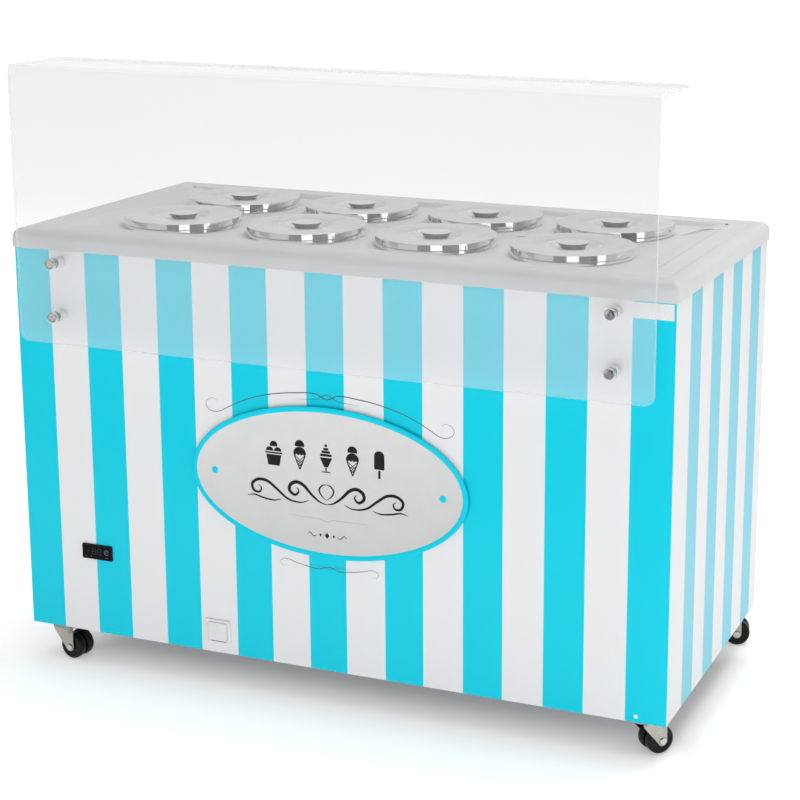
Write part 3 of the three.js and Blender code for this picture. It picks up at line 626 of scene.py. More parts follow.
def striped_panel(node, half, stops, first, place, mats):
    """stops are the stripe edges from left to right; the outer stripes and the ends have colour first."""
    section = sheet_section(half, SHEET, stops, 0.8 * MM)

    def mat_of(_, segment):
        return (segment + first) % 2 if segment <= len(stops) else first

    def level(z, inset=0.0):
        shrink = (half - inset) / half
        return [place @ Vector((x * shrink, max(y, inset), z)) for x, y in section]

    shape = Shape()
    rings = [level(PANEL_LOW, 0.4 * MM), level(PANEL_LOW + 0.4 * MM)]
    rings += [level(PANEL_LOW + (PANEL_HIGH - PANEL_LOW) * k / 4) for k in (1, 2, 3)]
    rings.append(level(PANEL_HIGH))
    shape.loft(rings, mat_of=mat_of, cap_mats=(2, 2))
    # A folded flange along the bottom.
    reach = half - 25 * MM
    shape.box((-reach, SHEET, PANEL_LOW), (reach, 10 * MM, PANEL_LOW + SHEET), 0.3 * MM, 2, place)
    shape.build(node + "_striped", mats, "striped_panel", node)


def stripes(start, widths):
    edges, x = [], start
    for w in widths:
        x += w
        edges.append(x)
    return edges


front_stops = stripes(-HALF_W, [72.44 * MM, 74.755 * MM] * 8)
striped_panel("front_panel", HALF_W, front_stops, 0, at(0, FRONT, 0), [mat_cyan, mat_white, mat_galvanised])

(_, side_mid, _), (_, side_half, _) = middle("right_panel")
corner_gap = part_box("right_panel")[0].y - FRONT
side_widths = [89.49 * MM - corner_gap] + [64.85 * MM, 68.64 * MM] * 3 + [64.85 * MM]
side_stops = stripes(-side_half, side_widths)
left_stops = [-x for x in reversed(side_stops)]
for node, sign, stops in (("right_panel", 1, side_stops), ("left_panel", -1, left_stops)):
    place = at(sign * HALF_W, side_mid, 0, sign * pi / 2)
    striped_panel(node, side_half, stops, 1, place, [mat_painted_sheen_cyan, mat_painted_shade_white, mat_galvanised])


# ---------- printed and applied details on the front ----------

def polygon(shape, points, y, thick=0.16 * MM, mat=0):
    """A flat cut-out shape, standing just proud of a face."""
    shape.loft([ring_xz(points, y), ring_xz(points, y - thick)], mat=mat)


def ribbon(shape, path, width, y, thick=0.12 * MM, mat=0):
    """A printed stroke standing just proud of the face; width(t) is its width at t from 0 to 1."""
    rings = []
    for k, (x, z) in enumerate(path):
        side = sideways(path, k) * width(k / (len(path) - 1)) / 2
        rings.append([Vector((x + sign * side.x, y - depth, z + sign * side.y))
                      for sign, depth in ((1, 0), (-1, 0), (-1, thick), (1, thick))])
    shape.loft(rings, mat=mat)


def swell(most, least=0.25):
    """Thin at both ends and fullest in the middle, as a pen stroke; most in millimetres."""
    def width(t):
        return most * MM * (least + (1 - least) * sin(pi * min(max(t, 0.01), 0.99)) ** 0.8)
    return width


def both_ways(points):
    """A stroke through the middle from its right half, with the left half mirrored."""
    return [(-x, z) for x, z in reversed(points)] + [p for p in points if p[0] > 0]


# Ornament strokes, right halves only, in millimetres from the plaque's middle, each with its width.
FLOURISHES = [
    (1.75, [(0, 150.2), (9, 153), (19, 158.3), (35, 159.3), (56, 157.2), (84, 154), (115, 148),
            (148, 138.5), (177, 126), (197, 115.5), (209, 108.8), (222, 106), (234, 110), (239, 118.5),
            (234, 127.5), (224, 131), (216.5, 126.5)]),
    (1.3, [(0, 158.8), (10, 154.8), (20, 149), (36, 147.3), (60, 145.8)]),
    (1.25, [(0, -155.2), (8, -157), (16, -160.6), (27, -161), (45, -158.6), (64, -155), (80, -150.6),
            (90, -151), (96, -156.5), (92, -163), (84.5, -163)]),
    (0.7, [(0, -159.4), (8, -157.4), (16, -154.8), (28, -154.4), (46, -156.4)]),
]
# The swash under the pictograms: thick and thin pen strokes.
SWASH = [
    (6.5, [(0, -38), (14, -34), (30, -22), (44, -8), (58, -3), (70, -9), (72, -20), (62, -27),
           (54, -20), (58, -13)]),
    (5.5, [(34, -34), (52, -40), (76, -36), (98, -20), (116, -8), (134, -7), (146, -16), (143, -28),
           (132, -30), (128, -22), (134, -17)]),
    (3.2, [(88, -38), (104, -42), (124, -40), (142, -36), (156, -39)]),
    (3.0, [(0, -30), (10, -22), (14, -12), (8, -4), (0, -1)]),
]

(PX, _, PZ), (PLAQUE_A, _, PLAQUE_B) = middle("sign_plaque")
PLAQUE_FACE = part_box("sign_plaque")[0].y


def panel_prints():
    shape = Shape()
    for k, (width, stroke) in enumerate(FLOURISHES):
        path = smooth_path(moved(both_ways(stroke), PX, PZ), 10)
        ribbon(shape, path, swell(width, 0.12), FRONT - k * 0.01 * MM)
    shape.build("front_panel_flourishes", [mat_ink_thin], "striped_panel")
    # A blank label fills the upper end of the last stripe.
    label = Shape()
    low, high = (front_stops[-1] + 0.2 * MM, top_lo.z - 29 * MM), (HALF_W - 3.4 * MM, top_lo.z - 2.4 * MM)
    half = [(h - l) / 2 for l, h in zip(low, high)]
    centre = [(h + l) / 2 for l, h in zip(low, high)]
    outline = plate(centre, half, 0.8 * MM, 4)
    label.loft([ring_xz(outline(), FRONT)] + front_edge(outline, FRONT - 0.25 * MM, 0.1 * MM))
    label.build("front_panel_blank_label", [mat_white_plastic], "white_plastic")
    cap = Shape()
    cap.lathe([(3.6, 0), (3.6, 0.6), (3.0, 1.2), (1.6, 1.5), (0, 1.6)],
              ahead(0.572, PANEL_LOW + 11 * MM), 40)
    cap.build("front_panel_screw_cap", [mat_white_plastic], "white_plastic")


panel_prints()


# Each pictogram is drawn with fill(points) and stroke(points, width, layer), in units of its own.

def cone_icon(fill, stroke):
    """A wafer cone with two scoops; the wafer is a lattice of strokes."""
    top, tip, half = -2, -30, 11.5
    for side in (-1, 1):
        stroke([(side * half, top), (0, tip)], 2.4, side + 1)
        for k in (0.0, 0.28, 0.56):
            reach = k + (1 - k) * 0.52
            start = (-side * half * (1 - k), top + (tip - top) * k)
            stroke([start, (side * half * (1 - reach), top + (tip - top) * reach)], 1.3, side + 3)
    scallop = []
    r = 13.2
    for k in range(4):
        scallop += arc(-r + (k + 0.5) * r / 2, 1, r / 4, 180, 360, 6)[:-1]
    fill(scallop + arc(0, 1, r, 0, 180, 20))
    fill(arc(0, 17.5, 10, -16, 196, 22))


def tub_icon(fill, _):
    """A paper tub with three scoops."""
    fill([(-12, -28), (12, -28), (16, -7), (-16, -7)])
    fill([(-18, -5), (18, -5), (18, -2), (-18, -2)])
    for x in (-8.6, 8.6):
        fill(arc(x, 0, 8, 0, 180, 16))
    fill(arc(0, 12, 8, -20, 200, 18))


def glass_icon(fill, _):
    """A sundae glass on its foot, with a swirl and a cherry."""
    fill([(-10, -30), (10, -30), (8, -28), (-8, -28)])
    fill([(-1.4, -27.6), (1.4, -27.6), (1.4, -20), (-1.4, -20)])
    fill([(-4, -19.4), (4, -19.4), (13, -1), (-13, -1)])
    for x, z in ((10.1, 3.9), (6.8, 10.0), (3.2, 15.8)):
        fill(arc(x, z, 2.4, -90, 90, 8) + arc(-x, z, 2.4, 90, 270, 8))
    fill(arc(0, 22.6, 2.8, 0, 360, 20)[:-1])


def lolly_icon(fill, _):
    """An ice lolly on its stick."""
    fill(arc(0, 14, 10.5, 0, 180, 20) + [(-10.5, -10), (-9, -11.5), (9, -11.5), (10.5, -10)])
    fill([(2.4, -13.5), (-2.4, -13.5)] + arc(0, -27, 2.4, 180, 360, 8))


def draw_icon(icon, shape, cx, cz, y, unit):
    def fill(points):
        polygon(shape, moved(points, cx, cz, unit), y)

    def stroke(points, width, layer):
        ribbon(shape, moved(points, cx, cz, unit), lambda t: width * unit, y - layer * 0.005 * MM)

    icon(fill, stroke)


def plaque():
    def oval(inset):
        half_x, half_z = PLAQUE_A - inset, PLAQUE_B - inset
        turns = [TAU * i / 192 for i in range(192)]
        return [(PX + half_x * cos(a), PZ + half_z * sin(a)) for a in turns]

    shape = Shape()
    back = PLAQUE_FACE + 3 * MM
    rings = [ring_xz(oval(0.3 * MM), back), ring_xz(oval(0), back - 0.3 * MM)]
    rings += front_edge(oval, PLAQUE_FACE, 0.9 * MM)
    # The face sits a hair lower inside the printed border.
    border = 9.5 * MM
    y = PLAQUE_FACE + 0.08 * MM
    rings += [ring_xz(oval(border), PLAQUE_FACE), ring_xz(oval(border + 0.15 * MM), y)]
    shape.loft(rings, cap_mats=(0, 1))
    for side in (-1, 1):
        cx = PX + side * 220.6 * MM
        shape.lathe([(8, 0), (8, (FRONT - back) / MM + 0.2)], ahead(cx, PZ), 40)
        shape.lathe([(6.4, -0.2), (6.4, 0.25), (5.9, 0.55), (3, 0.72), (0, 0.75)], ahead(cx, PZ, y), 48)
    shape.build("plaque_oval", [mat_cyan, mat_plaque], "plaque_silver", "sign_plaque")
    art = Shape()
    for k, icon in enumerate((tub_icon, cone_icon, glass_icon, cone_icon, lolly_icon)):
        draw_icon(icon, art, PX + (k - 2) * 51 * MM, PZ + 48.5 * MM, y, 0.93 * MM)
    for k, (width, half) in enumerate(SWASH):
        for side in (-1, 1):
            path = smooth_path(moved([(side * px, pz) for px, pz in half], PX, PZ), 10)
            ribbon(art, path, swell(width, 0.10), y - (2 * k + (side + 1) // 2) * 0.008 * MM)
    for x, size in ((0, 4.6), (-13, 2.4), (13, 2.4)):
        diamond = [(x + size, -95), (x, -95 + size * 1.25), (x - size, -95), (x, -95 - size * 1.25)]
        polygon(art, moved(diamond, PX, PZ), y)
    for side in (-1, 1):
        tail = [(side * 19, -95), (side * 26, -98), (side * 33, -92), (side * 38, -96)]
        ribbon(art, smooth_path(moved(tail, PX, PZ), 8), swell(1.6, 0.2), y)
    art.build("plaque_pictograms", [mat_ink], "plaque_silver")
    rule = Shape()
    brace = both_ways([(0, -69), (5, -68.6), (12, -65.4), (26, -65.2), (50, -65), (76, -64.6)])
    ribbon(rule, smooth_path(moved(brace, PX, PZ), 8), swell(1.0, 0.3), y)
    rule.build("plaque_rule", [mat_faint], "plaque_silver")


plaque()


def controller():
    """A black housing with a window; its unlit display shows a minus, two digits and small marks."""
    lo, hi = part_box("controller")
    (cx, _, cz), (half_x, _, half_z) = middle("controller")
    outline = plate((cx, cz), (half_x, half_z), 2.5 * MM, 6)
    shape = Shape()
    rings = [ring_xz(outline(), FRONT - 0.3 * MM)] + front_edge(outline, lo.y, 1.1 * MM)
    rings.append(ring_xz(outline(2.2 * MM, 0.7 * MM), lo.y))
    rings.append(ring_xz(outline(2.6 * MM, 1.0 * MM), lo.y + 0.35 * MM))
    shape.loft(rings, cap_mats=(0, 1))
    wall = 2 * MM
    shape.box((lo.x + wall, FRONT - 0.5 * MM, lo.z + wall), (hi.x - wall, hi.y, hi.z - wall), 0.8 * MM)
    shape.build("controller_body", [mat_black_plastic, mat_lens], "controller_black", "controller")
    y, thick = lo.y + 0.34 * MM, 0.08 * MM
    digits = Shape()

    def bar(x0, z0, x1, z1, width=1.7, mat=0):
        """A segment with pointed ends, in millimetres from the middle."""
        start, end = Vector((x0, z0)), Vector((x1, z1))
        tip = (end - start).normalized() * width / 2
        side = Vector((-tip.y, tip.x))
        points = [start, start + tip - side, end - tip - side, end, end - tip + side, start + tip + side]
        polygon(digits, moved(points, cx, cz), y, thick, mat)

    tall, wide, gap = 5.6, 8.0, 0.4
    for x in (-6.5, 5.0):
        for z in (1 - tall, 1, 1 + tall):
            bar(x - wide / 2 + gap, z, x + wide / 2 - gap, z)
        for side in (x - wide / 2, x + wide / 2):
            for z in (1 - tall, 1):
                bar(side, z + gap, side, z + tall - gap)
    bar(-21.5, 1, -15, 1)
    for x in (-25, -14.5):
        bar(x, -8.8, x + 3.4, -8.8, 0.9, 1)
    ring = moved(arc(20, 1.2, 4.4, 20, 340, 30), cx, cz)
    ribbon(digits, ring, lambda t: 0.9 * MM, y, thick, 1)
    for x0, x1, z in ((17.6, 22.4, 1.2), (17, 19.4, -8.8), (20.8, 23.2, -8.8)):
        bar(x0, z, x1, z, 0.9, 1)
    digits.build("controller_display", [mat_ghost, mat_mark], "controller_black")


controller()


def drain():
    """The outlet's frame with its short socket, and the pull-off cap with its plug."""
    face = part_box("drain_frame")[0].y
    (cx, _, cz), (half_x, _, half_z) = middle("drain_frame")

    outer = plate((cx, cz), (half_x, half_z), 4 * MM)
    inner = plate((cx, cz), (20 * MM, 18 * MM), 4 * MM)
    edge = FRONT - 1.4 * MM
    shape = Shape()
    rings = [ring_xz(outer(), FRONT - 0.1 * MM), ring_xz(outer(), edge)]
    rings += [ring_xz(outer(1.6 * MM * (1 - cos(a))), edge - (edge - face) * sin(a)) for a in quarter(5, 1)]
    rings.append(ring_xz(inner(-0.6 * MM, -0.2 * MM), face))
    rings += [ring_xz(inner(), face + depth * MM) for depth in (0.5, 1.8)]
    shape.loft(rings)
    shape.lathe([(13.4, -30), (13.4, -0.5), (10.6, -0.5), (10.6, -30), (13.4, -30)],
                ahead(cx, cz), 48)
    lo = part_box("drain_cap")[0]
    # A painted shadow: a dark grey strip below the cap stands for the shade in the gap under it.
    shape.box((cx - 13 * MM, face - 0.08 * MM, lo.z - 2.0 * MM),
              (cx + 17 * MM, face + 1 * MM, lo.z - 0.4 * MM), 0.3 * MM, 1)
    shape.build("drain_frame_moulding", [mat_white_plastic, mat_gap_painted_shadow], "white_plastic", "drain_frame")
    _, (half_x, _, half_z) = middle("drain_cap")
    outline = plate((cx, cz), (half_x, half_z), 4 * MM)
    cap = Shape()
    back = lo.y + 2.3 * MM
    rings = [ring_xz(outline(0.2 * MM), back), ring_xz(outline(), back - 0.2 * MM)]
    cap.loft(rings + front_edge(outline, lo.y, 0.9 * MM))
    grip = 9 * MM
    cap.box((cx - grip, lo.y - 0.01 * MM, lo.z + 1.5 * MM), (cx + grip, lo.y + 1 * MM, lo.z + 4.2 * MM),
            0.4 * MM)
    cap.lathe([(0, -22), (6.4, -22), (7.2, -20.5), (7.2, 0), (0, 0)], ahead(cx, cz), 48)
    cap.build("drain_cap_moulding", [mat_white_plastic], "white_plastic", "drain_cap", "drain_cap_body")


drain()


# ---------- sneeze guard and its stand-offs ----------

def sneeze_guard():
    """A sheet that stands at the front and bends back into a shelf, with rounded corners at its ends."""
    lo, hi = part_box("sneeze_guard")
    thick, bend, corner, bevel = 6 * MM, 12 * MM, 18 * MM, 0.7 * MM
    # Lengths along the sheet's middle line: up the front, round the bend and back along the shelf.
    up = (hi.z - bend) - lo.z
    turn_radius = bend - thick / 2
    turn = turn_radius * pi / 2
    back = hi.y - (lo.y + bend)
    total = up + turn + back

    def at(s):
        """The point at length s on the middle line, and the direction out of the sheet."""
        if s <= up:
            return Vector((0, lo.y + thick / 2, lo.z + s)), Vector((0, -1, 0))
        if s <= up + turn:
            a = (s - up) / turn * pi / 2
            out = Vector((0, -cos(a), sin(a)))
            return Vector((0, lo.y + bend, hi.z - bend)) + out * turn_radius, out
        return Vector((0, lo.y + bend + (s - up - turn), hi.z - thick / 2)), Vector((0, 0, 1))

    def cross(s, d, squeeze=0.0):
        """A ring round the sheet at length s, its ends drawn in by d."""
        centre, out = at(s)
        ring = []
        for sx, st in ((1, 1), (-1, 1), (-1, -1), (1, -1)):
            turns = quarter(3)
            if sx * st < 0:
                turns.reverse()
            for a in turns:
                x = sx * (hi.x - d - bevel + bevel * cos(a))
                o = st * (thick / 2 - squeeze - bevel + bevel * sin(a))
                ring.append(centre + Vector((x, 0, 0)) + out * o)
        return ring

    stops = [(corner * (1 - cos(a)), corner * (1 - sin(a))) for a in quarter(12)]
    rows = stops + [(up * k / 6, 0) for k in range(1, 7)]
    rows += [(up + turn * k / 14, 0) for k in range(1, 15)]
    rows += [(up + turn + back * 0.5, 0)]
    rows += [(total - s, d) for s, d in reversed(stops)]
    rings = [cross(0, corner + 0.3 * MM, 0.5 * MM)]
    rings += [cross(max(s, 0.05 * MM), d) for s, d in rows[:-1]]
    rings += [cross(total - 0.05 * MM, corner), cross(total, corner + 0.3 * MM, 0.5 * MM)]

    # The broad faces take the sheet's finish; the edges and ends take the painted highlight.
    def mat_of(k, i):
        return 0 if i in (3, 11) and 0 < k < len(rings) - 2 else 1

    shape = Shape()
    shape.loft(rings, mat_of=mat_of, cap_mats=(1, 1))
    return shape.build("sneeze_guard_sheet", [mat_clear, mat_edge_painted_highlight], "clear_sheet", "sneeze_guard",
                       smooth=40)


def standoffs(guard):
    """Turned barrels behind the sheet, caps before it, and the sheet's holes."""
    length = 24
    barrel = [(0, 0), (9.4, 0), (10, 0.6), (10, 5), (9.6, 5.3), (9.6, 5.9), (10, 6.2), (10, length - 1.0),
              (9.3, length - 0.3), (4, length - 0.3), (4, length + 4.6), (0, length + 4.6)]
    holes = Shape()
    for key in ("ul", "ll", "ur", "lr"):
        lo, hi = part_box("standoff_cap_" + key)
        (cx, _, cz), _ = middle("standoff_cap_" + key)
        origin = (cx, FRONT, cz)
        shape = Shape()
        shape.lathe(barrel, ahead(cx, cz, FRONT - 0.3 * MM), 64)
        shape.build("standoff_barrel_turned_" + key, [mat_turned], "standoff_steel",
                    "standoff_barrel_" + key, origin=origin)
        depth = (hi.y - lo.y) / MM
        profile = [(0, 0), (9.5, 0), (10, 0.5), (10, 2.0), (9.7, 2.3), (9.7, 2.7), (10, 3.0),
                   (10, depth - 1.2), (9.5, depth - 0.4), (8.6, depth), (3.2, depth - 0.25),
                   (0, depth - 0.35)]
        cap = Shape()
        cap.lathe(profile, ahead(cx, cz, hi.y), 64)
        cap.build("standoff_cap_turned_" + key, [mat_turned], "standoff_steel", "standoff_cap_" + key,
                  origin=origin)
        holes.lathe([(0, -10), (5.5, -10), (5.5, 10), (0, 10)], ahead(cx, cz, FRONT - 27.3 * MM), 40)
    cut(guard, holes)


standoffs(sneeze_guard())


# ---------- tubs and lids ----------

def rounded_profile(points, radius=0.5, steps=3):
    """Rounds the corners of a (radius, height) polyline; the ends on the axis stay."""
    out = [points[0]]
    for before, here, after in zip(points, points[1:], points[2:]):
        p, a, b = Vector(here), Vector(before) - Vector(here), Vector(after) - Vector(here)
        r = min(radius, a.length * 0.45, b.length * 0.45)
        start, end = p + a.normalized() * r, p + b.normalized() * r
        for i in range(steps + 1):
            t = i / steps
            out.append(tuple(start * (1 - t) ** 2 + p * 2 * t * (1 - t) + end * t * t))
    out.append(points[-1])
    return out


# Half sections of a tub and a lid in millimetres from the tub's rim. The points just inside an
# upright band's ends keep it crisp.
TUB = rounded_profile([
    (0, -250), (91.5, -250), (99.5, -240), (99.5, -5.8), (107.5, -5.8), (108.2, -5.2), (108.16, -4.9),
    (107.56, -0.7), (107.52, -0.4), (106.8, 0), (98.5, 0), (98.5, -239), (90.5, -249), (0, -249)])
LID = rounded_profile([
    (0, -0.8), (9, -0.8), (9, 1.7), (37, 1.7), (51, 10.1), (96, 10.1), (96, -3), (97.5, -3),
    (97.5, 0.8), (108.7, 0.8), (109.45, 1.3), (109.41, 1.6), (108.27, 10.9), (108.23, 11.2),
    (107.6, 11.7), (107.2, 11.75), (50, 11.7), (36, 3.3), (19, 3.3), (27.4, 14.9), (27.0, 15.7),
    (26.5, 15.75), (0, 15.8)])


def lid_finishes(profile):
    """A finish for each step of a lid's section: 0 skin, 1 mirror, 2 dish with a painted sheen, 3 side of
    the knob with a painted shade.
    """
    outermost = max(range(len(profile)), key=lambda k: profile[k][0])
    picks = []
    for k, here in enumerate(profile):
        after = profile[(k + 1) % len(profile)]
        r, z = (here[0] + after[0]) / 2, (here[1] + after[1]) / 2
        pick = 1 if r > 108.1 and z > 1 else 0
        if k > outermost and r < 50:
            pick = 2
            if r < 28 and z > 3.4:
                pick = 3 if z < 15.2 else 1
        picks.append(pick)
    return picks


tub_band = [k for k, (r, z) in enumerate(TUB) if r > 107.45 and z > -5.5]
lid_picks = lid_finishes(LID)
for i in range(1, 9):
    (x, y, _), _ = middle("tub_%d" % i)
    centre = Vector((x, y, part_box("tub_%d" % i)[1].z))
    place = at(*centre)
    tub, lid = Shape(), Shape()
    tub.lathe(TUB, place, 112, lambda k: 1 if tub_band[0] <= k < tub_band[-1] else 0)
    tub.build("tub_%d_spun" % i, [mat_tub, mat_skirt], "tub_steel", "tub_%d" % i, "tub_%d_body" % i,
              origin=centre)
    lid.lathe(LID, place, 144, lambda k: lid_picks[k])
    lid.build("lid_%d_spun" % i, [mat_lid, mat_skirt, mat_dish_painted_sheen, mat_knob_painted_shade], "lid_steel", "lid_%d" % i,
              "lid_%d_body" % i, origin=centre)


# ---------- castors ----------

AXLE_POSITION = {j["name"]: j["pos_m"] for j in frame["joints"] if j["name"].endswith("_roll")}


def castor_plate(key, cx, cy, top):
    half = 25 * MM
    shape = Shape()
    shape.box((cx - half, cy - half, top - 3 * MM), (cx + half, cy + half, top), 0.7 * MM)
    shape.lathe([(0, -12), (8, -12), (8, -9.2), (17, -5.6), (17.6, -3.2), (17.6, -2), (0, -2)],
                at(cx, cy, top), 48)
    bolt = [(0, -5.6), (4.2, -5.6), (4.6, -5.0), (4.6, -2.9), (0, -2.9)]
    for sx, sy in CORNERS:
        shape.lathe(bolt, at(cx + sx * 19 * MM, cy + sy * 19 * MM, top), 6)
    shape.build("castor_plate_pressed_" + key, [mat_zinc], "zinc_plated", "castor_plate_" + key)


def castor_fork(key, place, trail, wheel_r, crown):
    """A domed crown and two cheeks that narrow to the axle. Lengths in millimetres."""
    half, wall = 20.6, 2.5
    outline = arc(0, 0, half + wall, 90, 270, 18)
    outline += [(trail + 6, -half - wall), (trail + 8, -half), (trail + 8, half), (trail + 6, half + wall)]

    def spot(x, y, z):
        return place @ Vector((x * MM, y * MM, z * MM))

    shape = Shape()
    shape.loft([[spot(x * k, y * k, crown - fall) for x, y in outline]
                for k, fall in ((1.0, 2.7), (1.0, 0.8), (0.985, 0.2), (0.955, 0.0))])
    cheek = [(-14, crown - 1.2), (-12.6, crown - 8), (-9, crown - 13)]
    cheek += [(trail + x, z) for x, z in arc(0, wheel_r, 9, 205, 360, 16)]
    cheek += [(trail + 8.4, crown - 14), (trail + 8, crown - 1.2)]
    mid_x, mid_z = (sum(values) / len(cheek) for values in zip(*cheek))
    for side in (-1, 1):
        levels = []
        for k, y in ((0.985, half), (1.0, half + 0.4), (1.0, half + wall - 0.6), (0.975, half + wall)):
            levels.append([spot(mid_x + (x - mid_x) * k, side * y, mid_z + (z - mid_z) * k)
                           for x, z in cheek])
        shape.loft(levels)
    shape.build("castor_fork_pressed_" + key, [mat_zinc], "zinc_plated", "castor_fork_" + key,
                "castor_%s_swivel" % key)


def castor_wheel(key, spin, wheel_r):
    """Twin treads on one hub, with low ribs on the hub's outer faces."""
    tread = [(4.4, -19.5), (8, -19.5), (8.6, -18.6), (11.5, -18.2), (17, -18.2), (18, -19.3), (20.5, -19.5),
             (23.2, -18.6), (24.6, -16.4), (wheel_r, -13.5), (wheel_r, -8.5), (24.5, -5.4), (22.6, -3.2),
             (18, -2.8), (11, -2.8), (11, 2.8)]
    tread += [(r, -z) for r, z in reversed(tread[:-2])]
    tread.append(tread[0])
    shape = Shape()
    shape.lathe(tread, spin, 72)
    for face in (-18.1 * MM, 18.1 * MM):
        for k in range(6):
            arm = spin @ Matrix.Rotation(TAU * k / 6, 4, "Z")
            shape.box((9.5 * MM, -0.9 * MM, face - 0.8 * MM), (17.4 * MM, 0.9 * MM, face + 0.8 * MM),
                      0.4 * MM, 0, arm, 2)
    shape.build("castor_wheel_moulded_" + key, [mat_rubber], "black_rubber", "castor_wheel_" + key,
                "castor_%s_wheels" % key, smooth=40)


def castor(key):
    (cx, cy, _), _ = middle("castor_plate_" + key)
    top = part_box("castor_plate_" + key)[1].z
    axle = Vector(AXLE_POSITION["castor_%s_roll" % key])
    swivel = atan2(axle.y - cy, axle.x - cx)
    trail = hypot(axle.x - cx, axle.y - cy)
    castor_plate(key, cx, cy, top)
    castor_fork(key, at(cx, cy, 0, swivel), trail / MM, axle.z / MM, top / MM - 6.7)
    spin = at(*axle, swivel) @ Matrix.Rotation(pi / 2, 4, "X")
    end = [(0, 25.3), (5.2, 25.3), (6.2, 24.5), (6.2, 23.4), (4, 23.3)]
    bolt = Shape()
    bolt.lathe([(r, -z) for r, z in end] + end[::-1], spin, 40)
    bolt.build("castor_axle_turned_" + key, [mat_axle], "axle_steel", "castor_axle_" + key,
               "castor_%s_swivel" % key)
    castor_wheel(key, spin, axle.z / MM)


for key in ("fl", "fr", "rl", "rr"):
    castor(key)


# ---------- rear ----------

def louvre(shape, cx, y, z):
    """A pressed louvre with rounded ends, open at its lower edge, over a black strip: painted shade for the
    opening behind it.
    """
    length, steps = 356, 28
    rings = []
    for i in range(steps + 1):
        t = i / steps
        end = min(min(t, 1 - t) * length / 22, 1)
        lift = sqrt(max(1 - (1 - end) ** 2, 0.0004))
        skin = []
        for back, reach, top, fall, order in ((0.2, 2.6, 7, 12.5, 1), (0.6, 1.65, 6, 12.3, -1)):
            turns = quarter(6)[::order]
            skin += [(reach * lift * sin(a) - back, top - fall * (1 - cos(a)) * lift)
                     for a in turns]
        x = cx + (t - 0.5) * length * MM
        rings.append([Vector((x, y + out * MM, z + rise * MM)) for out, rise in skin])
    shape.loft(rings)
    # The black strip is painted shade in the louvre's opening.
    half = 172 * MM
    shape.box((cx - half, y - 0.5 * MM, z - 5 * MM), (cx + half, y + 0.06 * MM, z + 5 * MM), 0, 1)


def rear_details():
    (cx, _, cz), (half_x, _, half_z) = middle("rear_grille")
    shape = Shape()
    face = BACK + 1.5 * MM
    outline = plate((cx, cz), (half_x, half_z), 6 * MM)
    shape.loft([ring_xz(outline(inset), y)
                for inset, y in ((0, BACK + 0.3 * MM), (0, face - 0.4 * MM), (0.4 * MM, face))])
    for k in range(-4, 5):
        louvre(shape, cx, face, cz + k * 24 * MM)
    shape.build("rear_grille_louvred", [mat_white, mat_black_plastic], "white_panel", "rear_grille")
    screws = Shape()
    head = [(0, 0), (4.2, 0), (4.2, 0.5), (3.4, 1.4), (1.8, 1.9), (0.9, 1.5), (0, 1.2)]
    places = [(sx * 0.60, z) for sx in (-1, 1) for z in (0.10, 0.33, 0.56, 0.775)]
    places += [(x, 0.775) for x in (-0.3, 0.0, 0.3)] + [(x, 0.10) for x in (-0.3, 0.0)]
    for x, z in places:
        screws.lathe(head, behind(x, z), 24)
    for sx, sz in CORNERS:
        x, z = cx + sx * (half_x - 9 * MM), cz + sz * (half_z - 9 * MM)
        screws.lathe(head, behind(x, z, face), 24)
    screws.build("rear_screws", [mat_zinc], "zinc_plated")
    (gx, _, gz), _ = middle("cable_gland")
    out = (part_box("cable_gland")[1].y - BACK) / MM
    gland = Shape()
    gland.lathe([(4.5, -12), (9, -12), (9, 0.3), (13, 0.3), (13, 1.6), (12, 2.4), (9.5, out), (6, out),
                 (4.5, out - 0.9), (4.5, -12)], behind(gx, gz), 48)
    gland.lathe([(9.2, -10), (12, -10), (12, -1.9), (9.2, -1.9), (9.2, -10)], behind(gx, gz), 6)
    gland.build("cable_gland_moulded", [mat_black_plastic], "black_plastic", "cable_gland")


rear_details()


# ---------- floor, light and camera ----------

def emission(name, level):
    glow = (level, level, level, 1)
    return Look(name, 0.0, Specular_IOR_Level=0.0, Emission_Color=glow, Emission_Strength=1.0).mat


def staged(name, verts, faces, mats, picks=None):
    mesh = bpy.data.meshes.new(name)
    mesh.from_pydata(verts, [], faces)
    for m in mats:
        mesh.materials.append(m)
    if picks:
        mesh.polygons.foreach_set("material_index", picks)
    obj = linked(name, mesh)
    return obj


def rectangle(x0, x1, y0, y1, z):
    return [(x0, y0, z), (x1, y0, z), (x1, y1, z), (x0, y1, z)]


def floor():
    """A pale floor that glows; the glow fades near and under the cabinet, a painted shadow that deepens the
    shade there.
    """
    look = Look("floor_glow_painted_shadow", 0.90, 0.9, Specular_IOR_Level=0.0, Emission_Color=(1, 1, 1, 1))
    axes = look.node("SeparateXYZ")
    look.link(look.coords, axes.inputs[0])
    # How far a point lies outside a box a little smaller than the cabinet, and nearer its right side; the
    # glow grows with it, so the shade by the cabinet is a painted shadow.
    across = look.math("ABSOLUTE", look.math("SUBTRACT", axes.outputs["X"], 0.05), 0)
    along = look.math("ABSOLUTE", axes.outputs["Y"], 0)
    outside_x = look.math("SUBTRACT", across, HALF_W - 0.075)
    outside_y = look.math("SUBTRACT", along, -FRONT - 0.119)
    outside = look.math("MAXIMUM", outside_x, outside_y)
    stops = [(0.0, 0.08), (0.055, 0.13), (0.10, 0.20), (0.167, 0.315), (0.22, 0.37), (0.41, 0.39),
             (1.0, 0.46)]
    glow = look.greys(look.spread(outside, 0, 1, 0, 0.45), stops)
    look.link(glow, look.shader.inputs["Emission Strength"])
    look.vary_color(look.noise(0.4, 2), 0.99, 1.0)
    staged("floor", rectangle(-80, 80, -80, 80, 0), [(0, 1, 2, 3)], [look.mat])


floor()


